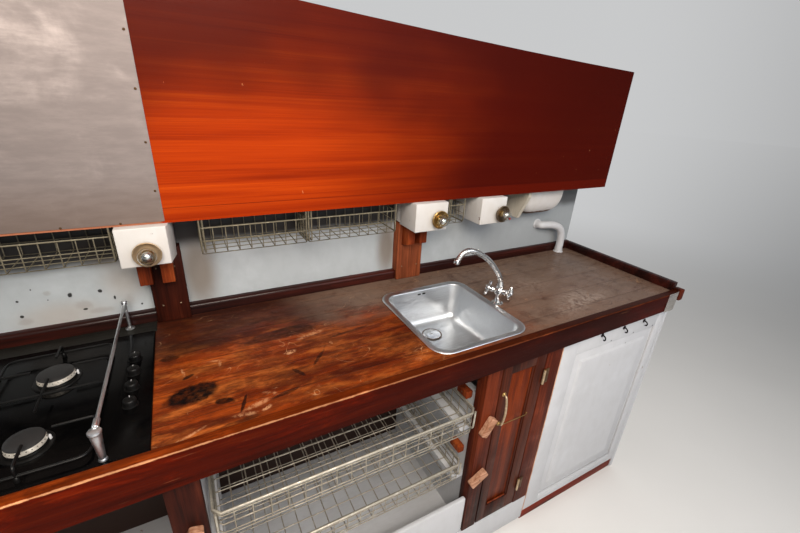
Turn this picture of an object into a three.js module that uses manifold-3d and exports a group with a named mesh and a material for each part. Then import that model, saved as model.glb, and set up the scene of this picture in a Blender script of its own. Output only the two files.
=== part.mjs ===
// A wooden ship's galley unit: counter with hob and sink, wire baskets, cupboard and upper panel.
// Millimetres. X runs along the counter, Y into the wall, Z up.
// The pieces are placed from the hob's right edge (X = 0) and the front board's face (Y = 0).
// The whole unit is shifted at the end, so that its origin is at the bottom centre of its box.

import * as THREE from 'three';
import Module from 'manifold-3d';
import { mergeVertices } from 'three/addons/utils/BufferGeometryUtils.js';

const wasm = await Module();
wasm.setup();

// Driving dimensions of the unit
const LEFT = -660;            // outer face of the left end panel
const RIGHT = 1984;           // outer face of the right end panel
const DEPTH = 650;            // from the front board's face to the back of the backboard
const TOP = 1070;             // top of the worktop above the floor
const GAP = 0.3;              // between pieces that touch
const BOARD = 18;             // common board thickness
const END = 22;               // end panel thickness

const BACK = DEPTH - BOARD;   // front face of the backboard
const WORKTOP = 40;           // worktop thickness
const UNDER = TOP - WORKTOP;  // underside of the worktop
const BOARD_Y = 30;           // thickness of the front board
const BOARD_UP = 9;           // front board above the worktop
const BOARD_DOWN = [103, 74]; // front board below the worktop's top, at its left and right end
const FILLET = 25;            // upstand along the wall, thickness
const FILLET_UP = 38;         // and its height
const DECK = 144;             // underside of the bottom board
const DECK_TOP = DECK + BOARD;
const SILL_LOW = 20;          // lower edge of the white board under the door
const WHITE_LOW = 60;         // lower edge of the white panel
const PLINTH_Y = 50;          // front face of the plinth
const POST_Y = 66;            // back face of the front posts
const POST_MID_Y = 80;        // back face of the middle post under the sink bowl

// Upper part, heights above the worktop
const PANEL_Y = 484;          // front face of the upper panel
const PANEL_LOW = 363;        // its lower edge
const DECKHEAD_LEFT = 1015;   // its top edge at the left end
const DECKHEAD_FALL = 139;    // fall of the top edge over the whole length
const DECKHEAD_SAG = 68;      // and its sag

// Hob
const HOB = { x0: -590, x1: 0, y0: 31, y1: 540 };
const HOB_LIP = 15;           // glass beyond the cut-out in the worktop
const GLASS = 6;              // top of the glass above the worktop
const TRAY_DEEP = 62;
const KNOBS_X = -45;
const KNOBS_Y = [200, 265, 330, 395];

// Sink
const SINK = { x0: 742, x1: 1132, y0: 49, y1: 487 };
const RIM = 24;
const RIM_CORNER = 62;
const BOWL_DEEP = 155;
const STEEL = 3;
const WASTE_R = 22;
const WASTE_ROOM = 80;        // free height under the bowl for its waste

// Tap
const TAP = { x: 1152, y: 256 };
const TAP_HANDLE_DIR = new THREE.Vector3(0.452, -0.892, 0).normalize();
const SPOUT_DIR = new THREE.Vector3(-197, 29, 0).normalize();

// Lower part
const POST_LEFT = { x0: 0, x1: 75 };
const POST_MID = { x0: 940, x1: 1005 };
const POST_RIGHT = { x0: 1220, x1: 1300 };
const RACK_WALL = 950;        // left face of the wall beside the baskets
const BASKET = { x0: 83, y1: 560, wire: 5 };
const BASKETS = {
  upper: { x1: 930, y0: 40, rim: TOP - 272, high: 93 },
  lower: { x1: 918, y0: 60, rim: TOP - 536, high: 78 },
};
const RUNNER = 25;            // height of the battens that carry the baskets
const STOP = { x0: 922, y0: 100, y1: 158, up: 4, high: 30 }; // block that holds a basket down
const FIDDLE_TOP = 352;       // top of the board in front of the lowest space
const DOOR = { x0: 1010, x1: 1216, y0: 30.6, thick: 20, z0: 168, z1: 978 };
const HINGE = { x: 1217, y: 25.2, r: 5 };

// Steps round a curve
const ROUND = 16;
const FINE = 24;

// Finishes: colour, roughness, metalness
const FINISHES = {
  worktop: ['#8a4a22', 0.35, 0],
  mahogany: ['#5c1f10', 0.4, 0],
  panel: ['#8f2a0c', 0.25, 0],
  darkwood: ['#4a2013', 0.55, 0],
  button: ['#b07a48', 0.5, 0],
  white: ['#e9e4d8', 0.6, 0],
  cream: ['#e3dcc4', 0.6, 0],
  lining: ['#b9c1c6', 0.6, 0],
  steel: ['#b8babb', 0.3, 1],
  chrome: ['#d9dadb', 0.1, 1],
  wire: ['#9f9788', 0.5, 0.6],
  glass: ['#0a0a0c', 0.05, 0],
  enamel: ['#141416', 0.3, 0.2],
  brass: ['#a8823e', 0.35, 1],
  lamp: ['#d8d2bd', 0.15, 0],
};
const materials = {};
for (const [name, [color, roughness, metalness]] of Object.entries(FINISHES)) {
  materials[name] = new THREE.MeshStandardMaterial({ name, color, roughness, metalness });
}

// Solids

function solid(geometry) {
  const bare = geometry.clone();
  bare.deleteAttribute('normal');
  bare.deleteAttribute('uv');
  const merged = mergeVertices(bare, 1e-4);
  const corners = merged.attributes.position.array;
  const triangles = Array.from(merged.index.array);
  const a = new THREE.Vector3(), b = new THREE.Vector3(), c = new THREE.Vector3();
  const kept = [];
  let volume = 0;
  for (let i = 0; i < triangles.length; i += 3) {
    const [p, q, r] = triangles.slice(i, i + 3);
    if (p === q || q === r || r === p) continue;
    kept.push(p, q, r);
    a.fromArray(corners, 3 * p);
    b.fromArray(corners, 3 * q);
    c.fromArray(corners, 3 * r);
    volume += a.dot(b.cross(c));
  }
  if (volume < 0) kept.reverse();
  return new wasm.Manifold(new wasm.Mesh({
    numProp: 3,
    vertProperties: new Float32Array(corners),
    triVerts: new Uint32Array(kept),
  }));
}

function join(...parts) {
  return parts.reduce((whole, part) => whole.add(part));
}

function toGeometry(manifold) {
  const { vertProperties, triVerts } = manifold.getMesh();
  const geometry = new THREE.BufferGeometry();
  geometry.setAttribute('position', new THREE.BufferAttribute(vertProperties, 3));
  geometry.setIndex(new THREE.BufferAttribute(triVerts, 1));
  geometry.computeVertexNormals();
  return geometry;
}

function block(x0, x1, y0, y1, z0, z1) {
  const box = new THREE.BoxGeometry(x1 - x0, y1 - y0, z1 - z0);
  box.translate((x0 + x1) / 2, (y0 + y1) / 2, (z0 + z1) / 2);
  return solid(box);
}

function extrude(shape, depth, steps = ROUND / 4) {
  return new THREE.ExtrudeGeometry(shape, { depth, bevelEnabled: false, curveSegments: steps });
}

// A shape in X and Y, from z0 up to z1
function slab(shape, z0, z1, steps) {
  return solid(extrude(shape, z1 - z0, steps).translate(0, 0, z0));
}

// A shape in X and Z, from y0 back to y1
function upright(shape, y0, y1) {
  return solid(extrude(shape, y1 - y0).rotateX(Math.PI / 2).translate(0, y1, 0));
}

// A shape in Y and Z, run along X from x0 to x1
function lengthwise(shape, x0, x1) {
  const turn = new THREE.Matrix4().makeBasis(
    new THREE.Vector3(0, 1, 0), new THREE.Vector3(0, 0, 1), new THREE.Vector3(1, 0, 0));
  return solid(extrude(shape, x1 - x0).applyMatrix4(turn).translate(x0, 0, 0));
}

function outline(points) {
  return new THREE.Shape(points.map(([x, y]) => new THREE.Vector2(x, y)));
}

function roundedShape(x0, x1, y0, y1, r) {
  const shape = new THREE.Shape();
  shape.moveTo(x0 + r, y0);
  shape.lineTo(x1 - r, y0);
  shape.absarc(x1 - r, y0 + r, r, -Math.PI / 2, 0);
  shape.lineTo(x1, y1 - r);
  shape.absarc(x1 - r, y1 - r, r, 0, Math.PI / 2);
  shape.lineTo(x0 + r, y1);
  shape.absarc(x0 + r, y1 - r, r, Math.PI / 2, Math.PI);
  shape.lineTo(x0, y0 + r);
  shape.absarc(x0 + r, y0 + r, r, Math.PI, 1.5 * Math.PI);
  return shape;
}

// A turned piece: pairs of radius and height along its axis, which points in direction
function turned(profile, at, direction = new THREE.Vector3(0, 0, 1), sides = ROUND) {
  const lathe = new THREE.LatheGeometry(profile.map(([r, h]) => new THREE.Vector2(r, h)), sides);
  const up = new THREE.Vector3(0, 1, 0);
  lathe.applyQuaternion(new THREE.Quaternion().setFromUnitVectors(up, direction));
  return solid(lathe.translate(...at));
}

function rod(from, to, r, sides = 8) {
  const a = new THREE.Vector3(...from), b = new THREE.Vector3(...to);
  const length = a.distanceTo(b);
  const direction = b.clone().sub(a).normalize();
  return turned([[0, 0], [r, 0], [r, length], [0, length]], from, direction, sides);
}

function tube(points, r, steps, sides = 8) {
  const section = new THREE.Shape();
  section.absarc(0, 0, r, 0, 2 * Math.PI);
  const path = new THREE.CatmullRomCurve3(points.map((p) => new THREE.Vector3(...p)));
  const options = { steps, extrudePath: path, curveSegments: sides, bevelEnabled: false };
  return solid(new THREE.ExtrudeGeometry(section, options));
}

// The unit
const unit = new THREE.Group();

function add(name, finish, manifold) {
  const mesh = new THREE.Mesh(toGeometry(manifold), materials[finish].clone());
  mesh.name = name;
  unit.add(mesh);
}

// Height of the deckhead edge above the floor, at a place along the counter
function deckhead(x) {
  const t = (x - LEFT) / (RIGHT - LEFT);
  return TOP + DECKHEAD_LEFT - DECKHEAD_FALL * t - DECKHEAD_SAG * t * (1 - t);
}

function boardUnderDeckhead(x0, x1, z0, y0, y1) {
  const steps = 8;
  const points = [[x0, z0], [x1, z0]];
  for (let i = steps; i >= 0; i--) {
    const x = x0 + (x1 - x0) * i / steps;
    points.push([x, deckhead(x)]);
  }
  return upright(outline(points), y0, y1);
}

// Counter
function makeWorktop() {
  const shape = outline([
    [LEFT, BOARD_Y + GAP], [RIGHT, BOARD_Y + GAP], [RIGHT, BACK - GAP], [LEFT, BACK - GAP]]);
  shape.holes.push(outline([
    [HOB.x0 + HOB_LIP, HOB.y0 + HOB_LIP], [HOB.x0 + HOB_LIP, HOB.y1 - HOB_LIP],
    [HOB.x1 - HOB_LIP, HOB.y1 - HOB_LIP], [HOB.x1 - HOB_LIP, HOB.y0 + HOB_LIP]]));
  const inset = RIM - 6;
  shape.holes.push(roundedShape(SINK.x0 + inset, SINK.x1 - inset, SINK.y0 + inset,
    SINK.y1 - inset, RIM_CORNER - inset));
  add('worktop', 'worktop', slab(shape, UNDER, TOP));
}

function makeFrontBoard() {
  const nose = 9;
  const back = 4;
  const high = TOP + BOARD_UP;
  const shape = new THREE.Shape();
  const [downLeft, downRight] = BOARD_DOWN;
  const low = TOP - downLeft;
  shape.moveTo(0, low);
  shape.lineTo(BOARD_Y, low);
  shape.lineTo(BOARD_Y, high - back);
  shape.absarc(BOARD_Y - back, high - back, back, 0, Math.PI / 2);
  shape.lineTo(nose, high);
  shape.absarc(nose, high - nose, nose, Math.PI / 2, Math.PI);
  const taper = upright(outline([[LEFT, low], [LEFT, low - 1], [RIGHT + 1, low - 1],
    [RIGHT + 1, TOP - downRight], [RIGHT, TOP - downRight]]), -1, BOARD_Y + 1);
  const endBlock = block(RIGHT - 26, RIGHT, 0, BOARD_Y - 2, TOP - 31, high + 12);
  add('front_board', 'mahogany',
    join(lengthwise(shape, LEFT, RIGHT).subtract(taper), endBlock));
}

function makeFillet() {
  const back = block(LEFT, RIGHT, BACK - GAP - FILLET, BACK - GAP, TOP + GAP, TOP + FILLET_UP);
  const end = block(RIGHT - FILLET, RIGHT, BOARD_Y + GAP + 1, BACK - FILLET,
    TOP + GAP, TOP + FILLET_UP);
  add('fillet', 'mahogany', join(back, end));
}

// Wall side
function makeBackboard() {
  add('backboard', 'lining', boardUnderDeckhead(LEFT, RIGHT, 0, BACK, DEPTH));
}

const BOX_LOW = 254;          // underside of the lamp boxes above the worktop
const BOX_Y = 455;
// Lamp boxes: left and right face, then the lamp's centre and its height above the worktop
const BOXES = [[-36, 97, 30, 292], [876, 1018, 977, 300], [1184, 1316, 1290, 295]];

// Posts between the worktop and the first two lamp boxes, each with two wedges under its box
function makeUpperPosts() {
  const table = [
    ['upper_post_left', 6, 104, [-14, 45], 96],
    ['upper_post_mid', 882, 1001, [900, 957], 82],
  ];
  const front = BACK - 40;
  const wedgeFront = front - 47;
  const wedge = 34;
  const high = TOP + BOX_LOW - GAP;
  for (const [name, x0, x1, wedges, long] of table) {
    const post = block(x0, x1, front, BACK - GAP, TOP + GAP, high);
    const notch = block(x0 - 1, x1 + 1, BACK - FILLET - 2 * GAP, BACK, TOP, TOP + FILLET_UP + GAP);
    const side = outline([[wedgeFront, high], [front + 1, high], [front + 1, high - long - 14],
      [wedgeFront, high - long]]);
    const pieces = wedges.map((x) => lengthwise(side, x, x + wedge));
    add(name, 'mahogany', join(post.subtract(notch), ...pieces));
  }
}

function makeUpperPanel() {
  const low = TOP + PANEL_LOW;
  const seam = 83;            // right edge of the steel sheet
  const sheet = 2;
  add('upper_panel', 'panel', boardUnderDeckhead(LEFT, RIGHT, low, PANEL_Y, PANEL_Y + BOARD));
  const face = PANEL_Y - GAP;
  add('steel_sheet', 'steel', boardUnderDeckhead(LEFT, seam, low, face - sheet, face));
}

// Soffit board and ribs that carry the upper panel off the backboard, and a knee below them
const KNEE = { x: 1490, deep: 134 };

function makeUpperFrame() {
  const front = PANEL_Y + BOARD + GAP;
  const soffit = 12;
  const low = TOP + PANEL_LOW;
  const parts = [block(LEFT, RIGHT, front, BACK - GAP, low, low + soffit)];
  for (const x of [LEFT, 74, 950, RIGHT - BOARD]) {
    parts.push(block(x, x + BOARD, front, BACK - GAP, low, deckhead(x + BOARD) - 30));
  }
  const back = BACK - GAP;
  parts.push(lengthwise(outline([[506, low + 1], [back, low + 1], [back, low - KNEE.deep],
    [556, low - KNEE.deep], [506, low - 26]]), KNEE.x, KNEE.x + BOARD));
  add('upper_frame', 'lining', join(...parts));
}

function makeLampBoxes() {
  BOXES.forEach(([x0, x1, x, z], i) => {
    add(`lamp_box_${i + 1}`, 'cream', block(x0, x1, BOX_Y, BACK - GAP,
      TOP + BOX_LOW, TOP + PANEL_LOW - GAP));
    const neck = 25;
    const lip = 35;
    const bulb = 22;
    const profile = [[0, 0], [neck, 0], [lip, 13], [lip, 17], [bulb, 18], [bulb, 32],
      [bulb - 6, 43], [0, 48]];
    add(`lamp_${i + 1}`, 'lamp', turned(profile, [x, BOX_Y - GAP, TOP + z],
      new THREE.Vector3(0, -1, 0), FINE));
  });
}

// White housing under the soffit at the right, and the bent pipe on the wall below it
const HOUSING = { x0: 1511, x1: 1766, y: 532, z: 237 };

function makeHousing() {
  const { x0, x1, y, z } = HOUSING;
  const taper = 16;
  const r = 46;
  const high = TOP + PANEL_LOW - GAP;
  const low = TOP + z;
  const shape = new THREE.Shape();
  shape.moveTo(x0, high);
  shape.lineTo(x0 + taper, low + r);
  shape.absarc(x0 + taper + r, low + r, r, Math.PI, 1.5 * Math.PI);
  shape.lineTo(x1 - taper - r, low);
  shape.absarc(x1 - taper - r, low + r, r, 1.5 * Math.PI, 2 * Math.PI);
  shape.lineTo(x1, high);
  add('vent_housing', 'white', upright(shape, y, BACK - GAP));
}

function makeWallPipe() {
  const r = 20;
  const z = TOP + 157;
  const path = [[1722, BACK, z], [1724, BACK - 26, z], [1748, 598, z], [1800, 592, z - 4],
    [1848, 586, z - 26], [1870, 584, z - 76], [1872, 584, TOP - 5]];
  const room = block(LEFT, RIGHT, 0, BACK - GAP, TOP + GAP, TOP + PANEL_LOW);
  add('wall_pipe', 'white', tube(path, r, 24, FINE / 2).intersect(room));
}

// Wire baskets and racks

// An open-topped basket: a rim, and wires bent as hoops both ways at about the given pitch.
// The hoops are a little thinner than the rim, one way more than the other, as wires that cross.
function wireBasket(x0, x1, y0, y1, z0, z1, pitch, wire) {
  const hoop = (a, b, low, thick) => outline([[a, low], [b, low], [b, z1 - wire / 2],
    [b - thick, z1 - wire / 2], [b - thick, low + thick], [a + thick, low + thick],
    [a + thick, z1 - wire / 2], [a, z1 - wire / 2]]);
  const spread = (a, b, count, i) => Math.round(a + (b - a - wire) * i / count);
  const columns = Math.max(1, Math.round((x1 - x0) / pitch));
  const rows = Math.max(1, Math.round((y1 - y0) / pitch));
  const rim = outline([[x0, y0], [x1, y0], [x1, y1], [x0, y1]]);
  rim.holes.push(outline([[x0 + wire, y0 + wire], [x0 + wire, y1 - wire],
    [x1 - wire, y1 - wire], [x1 - wire, y0 + wire]]));
  const parts = [slab(rim, z1 - wire, z1)];
  for (let i = 0; i <= columns; i++) {
    const inset = 0.5;
    const x = spread(x0, x1, columns, i) + inset;
    const thick = wire - 2 * inset;
    parts.push(lengthwise(hoop(y0 + inset, y1 - inset, z0, thick), x, x + thick));
  }
  for (let j = 0; j <= rows; j++) {
    const inset = 1;
    const y = spread(y0, y1, rows, j) + inset;
    const thick = wire - 2 * inset;
    parts.push(upright(hoop(x0 + inset, x1 - inset, z0 + inset / 2, thick), y, y + thick));
  }
  return join(...parts);
}

// Racks hung under the upper panel: name, ends, height of the floor above the worktop
const RACKS = [
  ['rack_left', LEFT + 20, -45, 266],
  ['rack_mid_left', 161, 479, 258],
  ['rack_mid_right', 481, 809, 258],
  ['rack_small', 1040, 1120, 266],
];
const RACK_TOP = 340;
const RACK_Y = { y0: 480, y1: 622 };
const RACK_WIRE = 4;

function makeRacks() {
  const hanger = 6;
  for (const [name, x0, x1, z0] of RACKS) {
    const rack = wireBasket(x0, x1, RACK_Y.y0, RACK_Y.y1, TOP + z0, TOP + RACK_TOP, 110, RACK_WIRE);
    const hangers = [];
    for (const x of [x0, x1 - hanger]) {
      for (const y of [RACK_Y.y0 + 6, RACK_Y.y1 - hanger]) {
        hangers.push(block(x, x + hanger, y, y + hanger, TOP + RACK_TOP - RACK_WIRE,
          TOP + PANEL_LOW - GAP));
      }
    }
    add(name, 'wire', join(rack, ...hangers));
  }
}

// Sink and tap
function makeSink() {
  const { x0, x1, y0, y1 } = SINK;
  const rim = slab(roundedShape(x0, x1, y0, y1, RIM_CORNER), TOP + GAP, TOP + GAP + STEEL, 6);
  const bowl = (inset, depth, lift) => {
    const r = RIM_CORNER - RIM - 6;
    const draft = 10;
    const wall = slab(roundedShape(x0 + inset, x1 - inset, y0 + inset, y1 - inset, r + 8),
      TOP - depth + 26, TOP + lift, 6);
    const foot = slab(roundedShape(x0 + inset + draft, x1 - inset - draft, y0 + inset + draft,
      y1 - inset - draft, r + 8), TOP - depth, TOP - depth + 27, 6);
    const middle = slab(roundedShape(x0 + inset + draft / 3, x1 - inset - draft / 3,
      y0 + inset + draft / 3, y1 - inset - draft / 3, r + 8), TOP - depth + 9, TOP - depth + 27, 6);
    return join(wall, foot, middle);
  };
  const outer = bowl(RIM - STEEL, BOWL_DEEP + STEEL, GAP + 1);
  const inner = bowl(RIM, BOWL_DEEP, STEEL + 5);
  const x = (x0 + x1) / 2, y = (y0 + y1) / 2 + 100;
  const hole = rod([x, y, TOP - BOWL_DEEP - 20], [x, y, TOP - BOWL_DEEP + 20], WASTE_R, ROUND);
  add('sink', 'steel', join(rim, outer).subtract(inner).subtract(hole));

  makeSinkWaste(x, y);
}

// Strainer, nut, and a pipe that leads over the wall beside the baskets and back to the lining
function makeSinkWaste(x, y) {
  const floor = TOP - BOWL_DEEP;
  const flange = 38;
  const neck = WASTE_R - 1;
  const nut = 34;
  const under = -STEEL - GAP;
  const pipe = 16;
  const fitting = turned([[0, -50], [pipe, -50], [pipe, -36], [nut, -36], [nut, under],
    [neck, under], [neck, GAP], [flange, GAP], [flange - 3, 2.5], [0, 2.5]], [x, y, floor]);
  const cross = TOP - BOWL_DEEP - 54;
  const down = 1062;
  const low = 520;
  const over = rod([x - pipe, y, cross], [down + pipe, y, cross], pipe, 12);
  const fall = rod([down, y, cross + pipe - 1], [down, y, low - pipe + 1], pipe - 1, 12);
  const away = rod([down, y - pipe, low], [down, BACK - GAP, low], pipe, 12);
  add('sink_waste', 'chrome', join(fitting, over, fall, away));
}

function makeTap() {
  const { x, y } = TAP;
  const bodyHigh = 66;
  const crossZ = TOP + 52;
  const reach = 36;
  const column = turned([[0, GAP], [20, GAP], [20, 5], [14, 10], [13, 34], [17, 40],
    [17, 60], [12, bodyHigh], [0, bodyHigh]], [x, y, TOP]);
  const along = (s, z) => [x + TAP_HANDLE_DIR.x * s, y + TAP_HANDLE_DIR.y * s, z];
  const cross = rod(along(-reach, crossZ), along(reach, crossZ), 9, 12);
  add('tap_body', 'chrome', join(column, cross));

  const arm = 22;
  const flat = new THREE.Vector3(-TAP_HANDLE_DIR.y, TAP_HANDLE_DIR.x, 0);
  [1, -1].forEach((side, i) => {
    const hub = rod(along(side * (reach + GAP), crossZ), along(side * (reach + 17), crossZ), 10, 12);
    const c = along(side * (reach + 10), crossZ);
    const across = rod([c[0] - flat.x * arm, c[1] - flat.y * arm, c[2]],
      [c[0] + flat.x * arm, c[1] + flat.y * arm, c[2]], 4.5);
    const vertical = rod([c[0], c[1], c[2] - arm], [c[0], c[1], c[2] + arm], 4.5);
    add(`tap_handle_${i + 1}`, 'chrome', join(hub, across, vertical));
  });

  // Distance from the tap's axis and height along the spout
  const line = [[0, 78], [0, 88], [30, 142], [90, 203], [145, 230], [180, 221], [200, 190]];
  const points = line.map(([r, z]) => [x + SPOUT_DIR.x * r, y + SPOUT_DIR.y * r, TOP + z]);
  const collar = turned([[0, bodyHigh + GAP], [13, bodyHigh + GAP], [13, 80], [9, 86], [0, 86]],
    [x, y, TOP]);
  add('tap_spout', 'chrome', join(tube(points, 8, 22), collar));
}

// Hob
const BURNERS = [[-222, 148, 33], [-212, 378, 37], [-460, 148, 37], [-460, 378, 33]];
const SUPPORTS = [[-333, -98], [-580, -345]];

function makeHob() {
  const glass = block(HOB.x0, HOB.x1, HOB.y0, HOB.y1, TOP + GAP, TOP + GLASS);
  add('hob_glass', 'glass', glass);
  const inset = HOB_LIP + 3;
  add('hob_tray', 'steel', block(HOB.x0 + inset, HOB.x1 - inset, HOB.y0 + inset, HOB.y1 - inset,
    TOP - TRAY_DEEP, TOP));

  BURNERS.forEach(([x, y, r], i) => {
    const z = GLASS + GAP;
    add(`burner_${i + 1}`, 'enamel', turned([[0, z], [r + 14, z], [r + 10, z + 5], [r - 3, z + 7],
      [r - 5, z + 16], [r, z + 17], [r, z + 21], [r - 6, z + 25], [0, z + 27]], [x, y, TOP],
      new THREE.Vector3(0, 0, 1), FINE));
  });

  const strip = block(KNOBS_X - 17, KNOBS_X + 17, KNOBS_Y[0] - 24, KNOBS_Y[3] + 24,
    TOP + GLASS + GAP, TOP + GLASS + 1.5);
  const knobs = KNOBS_Y.map((y) => turned([[0, 7], [15, 7], [14, 22], [10, 25], [0, 25]],
    [KNOBS_X, y, TOP]));
  add('hob_knobs', 'enamel', join(strip, ...knobs));
}

// Pan supports: a low frame with legs, a middle bar and fingers that point at the burners
function makePanSupports() {
  const bar = 7;
  const y0 = 52, y1 = 488, middle = 270;
  const low = TOP + GLASS + GAP;
  const frame = TOP + 18;
  const high = TOP + 45;
  SUPPORTS.forEach(([x0, x1], i) => {
    const ring = slab(roundedShape(x0, x1, y0, y1, 26), frame, frame + bar)
      .subtract(slab(roundedShape(x0 + bar, x1 - bar, y0 + bar, y1 - bar, 26 - bar),
        frame - 1, frame + bar + 1));
    const parts = [ring];
    const across = (xa, xb, y) => parts.push(
      block(xa, xb, y - bar / 2, y + bar / 2, high - bar, high));
    const foot = (x, y, from) => parts.push(
      block(x - bar / 2, x + bar / 2, y - bar / 2, y + bar / 2, from, high - bar / 2));
    const [left, right] = [x0 + bar / 2, x1 - bar / 2];
    across(left, right, middle);
    for (const x of [left, right]) foot(x, middle, low);
    const finger = 76;
    for (const y of [148, 378]) {
      across(left, left + finger, y);
      across(right - finger, right, y);
      foot(left, y, frame);
      foot(right, y, frame);
    }
    for (const [y, way] of [[y0 + bar / 2, 1], [y1 - bar / 2, -1]]) {
      const x = (x0 + x1) / 2;
      const reach = y + way * 58;
      parts.push(block(x - bar / 2, x + bar / 2, Math.min(y, reach), Math.max(y, reach),
        high - bar, high));
      foot(x, y, low);
    }
    add(`pan_support_${i + 1}`, 'enamel', join(...parts));
  });
}

// Steel rails at the sides of the hob: a tapered front post, a bar and a thin back post
function makeHobRails() {
  const barZ = TOP + 88;
  const table = [['hob_rail_right', -82, -70, GLASS], ['hob_rail_left', -622, -622, 0]];
  for (const [name, front, back, foot] of table) {
    const low = foot + GAP;
    const post = turned([[0, low], [9, low], [8, low + 8], [12, 74], [14, 80], [14, 84], [0, 84]],
      [front, 46, TOP]);
    const sleeve = rod([front, 46, barZ - 6], [front, 104, barZ], 9);
    const bar = rod([front, 46, barZ - 6], [back, 590, barZ], 6);
    const rear = turned([[0, GAP], [12, GAP], [12, 5], [5, 8], [5, 92], [9, 94], [9, 98], [0, 98]],
      [back, 590, TOP]);
    add(name, 'steel', join(post, sleeve, bar, rear));
  }
}

// Carcass below the worktop
function makeCarcass() {
  const back = BACK - GAP;
  const under = UNDER - GAP;
  const front = BOARD_Y + GAP;
  add('end_panel_left', 'mahogany', block(LEFT, LEFT + END, front, back, 0, under));
  add('end_panel_right', 'white', block(RIGHT - END, RIGHT, front, back, 0, under));

  const inL = LEFT + END + GAP, inR = RIGHT - END - GAP;
  const fiddle = block(POST_LEFT.x1 + GAP, POST_MID.x0 - GAP, 36, 54, DECK, FIDDLE_TOP);
  const sillBack = front + BOARD + GAP;
  const deck = block(inL, inR, sillBack, back, DECK, DECK_TOP);
  const sill = block(inL, POST_RIGHT.x1 - GAP, front, sillBack + 1, SILL_LOW, DECK_TOP);
  add('bottom_board', 'white', join(deck, sill, fiddle));
  add('plinth', 'darkwood', block(inL, inR, PLINTH_Y, PLINTH_Y + 18, 0, DECK - GAP));

  const wallY = POST_Y + GAP, midY = POST_MID_Y + GAP;
  const foot = DECK_TOP + GAP;
  const wall = (x0, x1, y = wallY) => block(x0, x1, y, back, foot, under);
  const runners = (x0, x1, y) => Object.values(BASKETS).map(({ rim, high }) =>
    block(x0, x1, y, BACK - 30, rim - high - GAP - RUNNER, rim - high - GAP));
  const rackLeft = POST_LEFT.x1;
  add('wall_left', 'white', join(wall(rackLeft - 20, rackLeft), ...runners(rackLeft - 1, 101, wallY)));
  const notch = block(RACK_WALL - 1, RACK_WALL + 21, 0, SINK.y1,
    TOP - BOWL_DEEP - WASTE_ROOM, TOP);
  add('wall_mid', 'white', join(wall(RACK_WALL, RACK_WALL + 20, midY).subtract(notch),
    ...runners(890, RACK_WALL + 1, midY)));
  add('wall_right', 'white', wall(1281, 1299));

  const post = (p) => block(p.x0, p.x1, front, POST_Y, foot, under);
  add('post_left', 'mahogany', post(POST_LEFT));
  add('post_mid', 'mahogany', join(post(POST_MID), block(POST_MID.x0, POST_MID.x1,
    POST_Y - 1, POST_MID_Y, foot, TOP - BOWL_DEEP - 10)));
  for (const [name, { rim }] of Object.entries(BASKETS)) {
    add(`basket_stop_${name}`, 'mahogany', block(STOP.x0, RACK_WALL - GAP, STOP.y0, STOP.y1,
      rim + STOP.up, rim + STOP.up + STOP.high));
  }
  add('post_right', 'mahogany', post(POST_RIGHT));
}

function makeBaskets() {
  for (const [name, { x1, y0, rim, high }] of Object.entries(BASKETS)) {
    add(`basket_${name}`, 'wire', wireBasket(BASKET.x0, x1, y0, BASKET.y1,
      rim - high, rim, 135, BASKET.wire));
  }
}

// Wooden turn buttons: name, centre, length, width, tilt of the long axis in degrees
function makeTurnButtons() {
  const thick = 20;
  const table = [
    ['turn_button_upper', 970, TOP - 345, 74, 40, 57],
    ['turn_button_lower', 966, TOP - 600, 76, 44, 28],
    ['turn_button_left', 38, TOP - 300, 70, 40, 70],
  ];
  for (const [name, x, z, long, wide, tilt] of table) {
    const shape = roundedShape(-long / 2, long / 2, -wide / 2, wide / 2, 10);
    const plate = upright(shape, BOARD_Y - thick, BOARD_Y).rotate([0, -tilt, 0]);
    add(name, 'button', plate.translate([x, 0, z]));
  }
}

// Cupboard door with a recessed panel, its bow pull and its hinges
function makeDoor() {
  const { x0, x1, y0, thick, z0, z1 } = DOOR;
  const stile = 40;
  const hingeStile = 49;
  const rail = { low: 80, high: 54 };
  const recess = 7;
  const inner = (ya, yb) => block(x0 + stile, x1 - hingeStile, ya, yb, z0 + rail.low, z1 - rail.high);
  const leaf = block(x0, x1, y0, y0 + thick, z0, z1)
    .subtract(inner(y0 - 1, y0 + recess)).subtract(inner(y0 + thick - 5, y0 + thick + 1));
  add('door', 'darkwood', leaf);

  const pullX = x0 + stile / 2;
  const [low, high] = [TOP - 362, TOP - 228];
  const face = y0 - GAP;
  const bow = tube([[pullX, face - 3, low], [pullX, face - 17, low + 14],
    [pullX, face - 22, (low + high) / 2], [pullX, face - 17, high - 14],
    [pullX, face - 3, high]], 4, 14);
  const feet = [low, high].map((z) => turned([[0, 0], [9, 0], [9, 3], [5, 6], [0, 6]],
    [pullX, face, z], new THREE.Vector3(0, -1, 0)));
  add('door_pull', 'brass', join(bow, ...feet));

  const table = [['hinge_lower', TOP - 819, TOP - 750], ['hinge_upper', TOP - 247, TOP - 178]];
  for (const [name, za, zb] of table) {
    const barrel = rod([HINGE.x, HINGE.y, za], [HINGE.x, HINGE.y, zb], HINGE.r, 12);
    const leafX = HINGE.x + 2;
    add(name, 'brass', join(barrel, block(leafX, leafX + 26, BOARD_Y - 2.4, BOARD_Y, za, zb)));
  }
}

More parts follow.
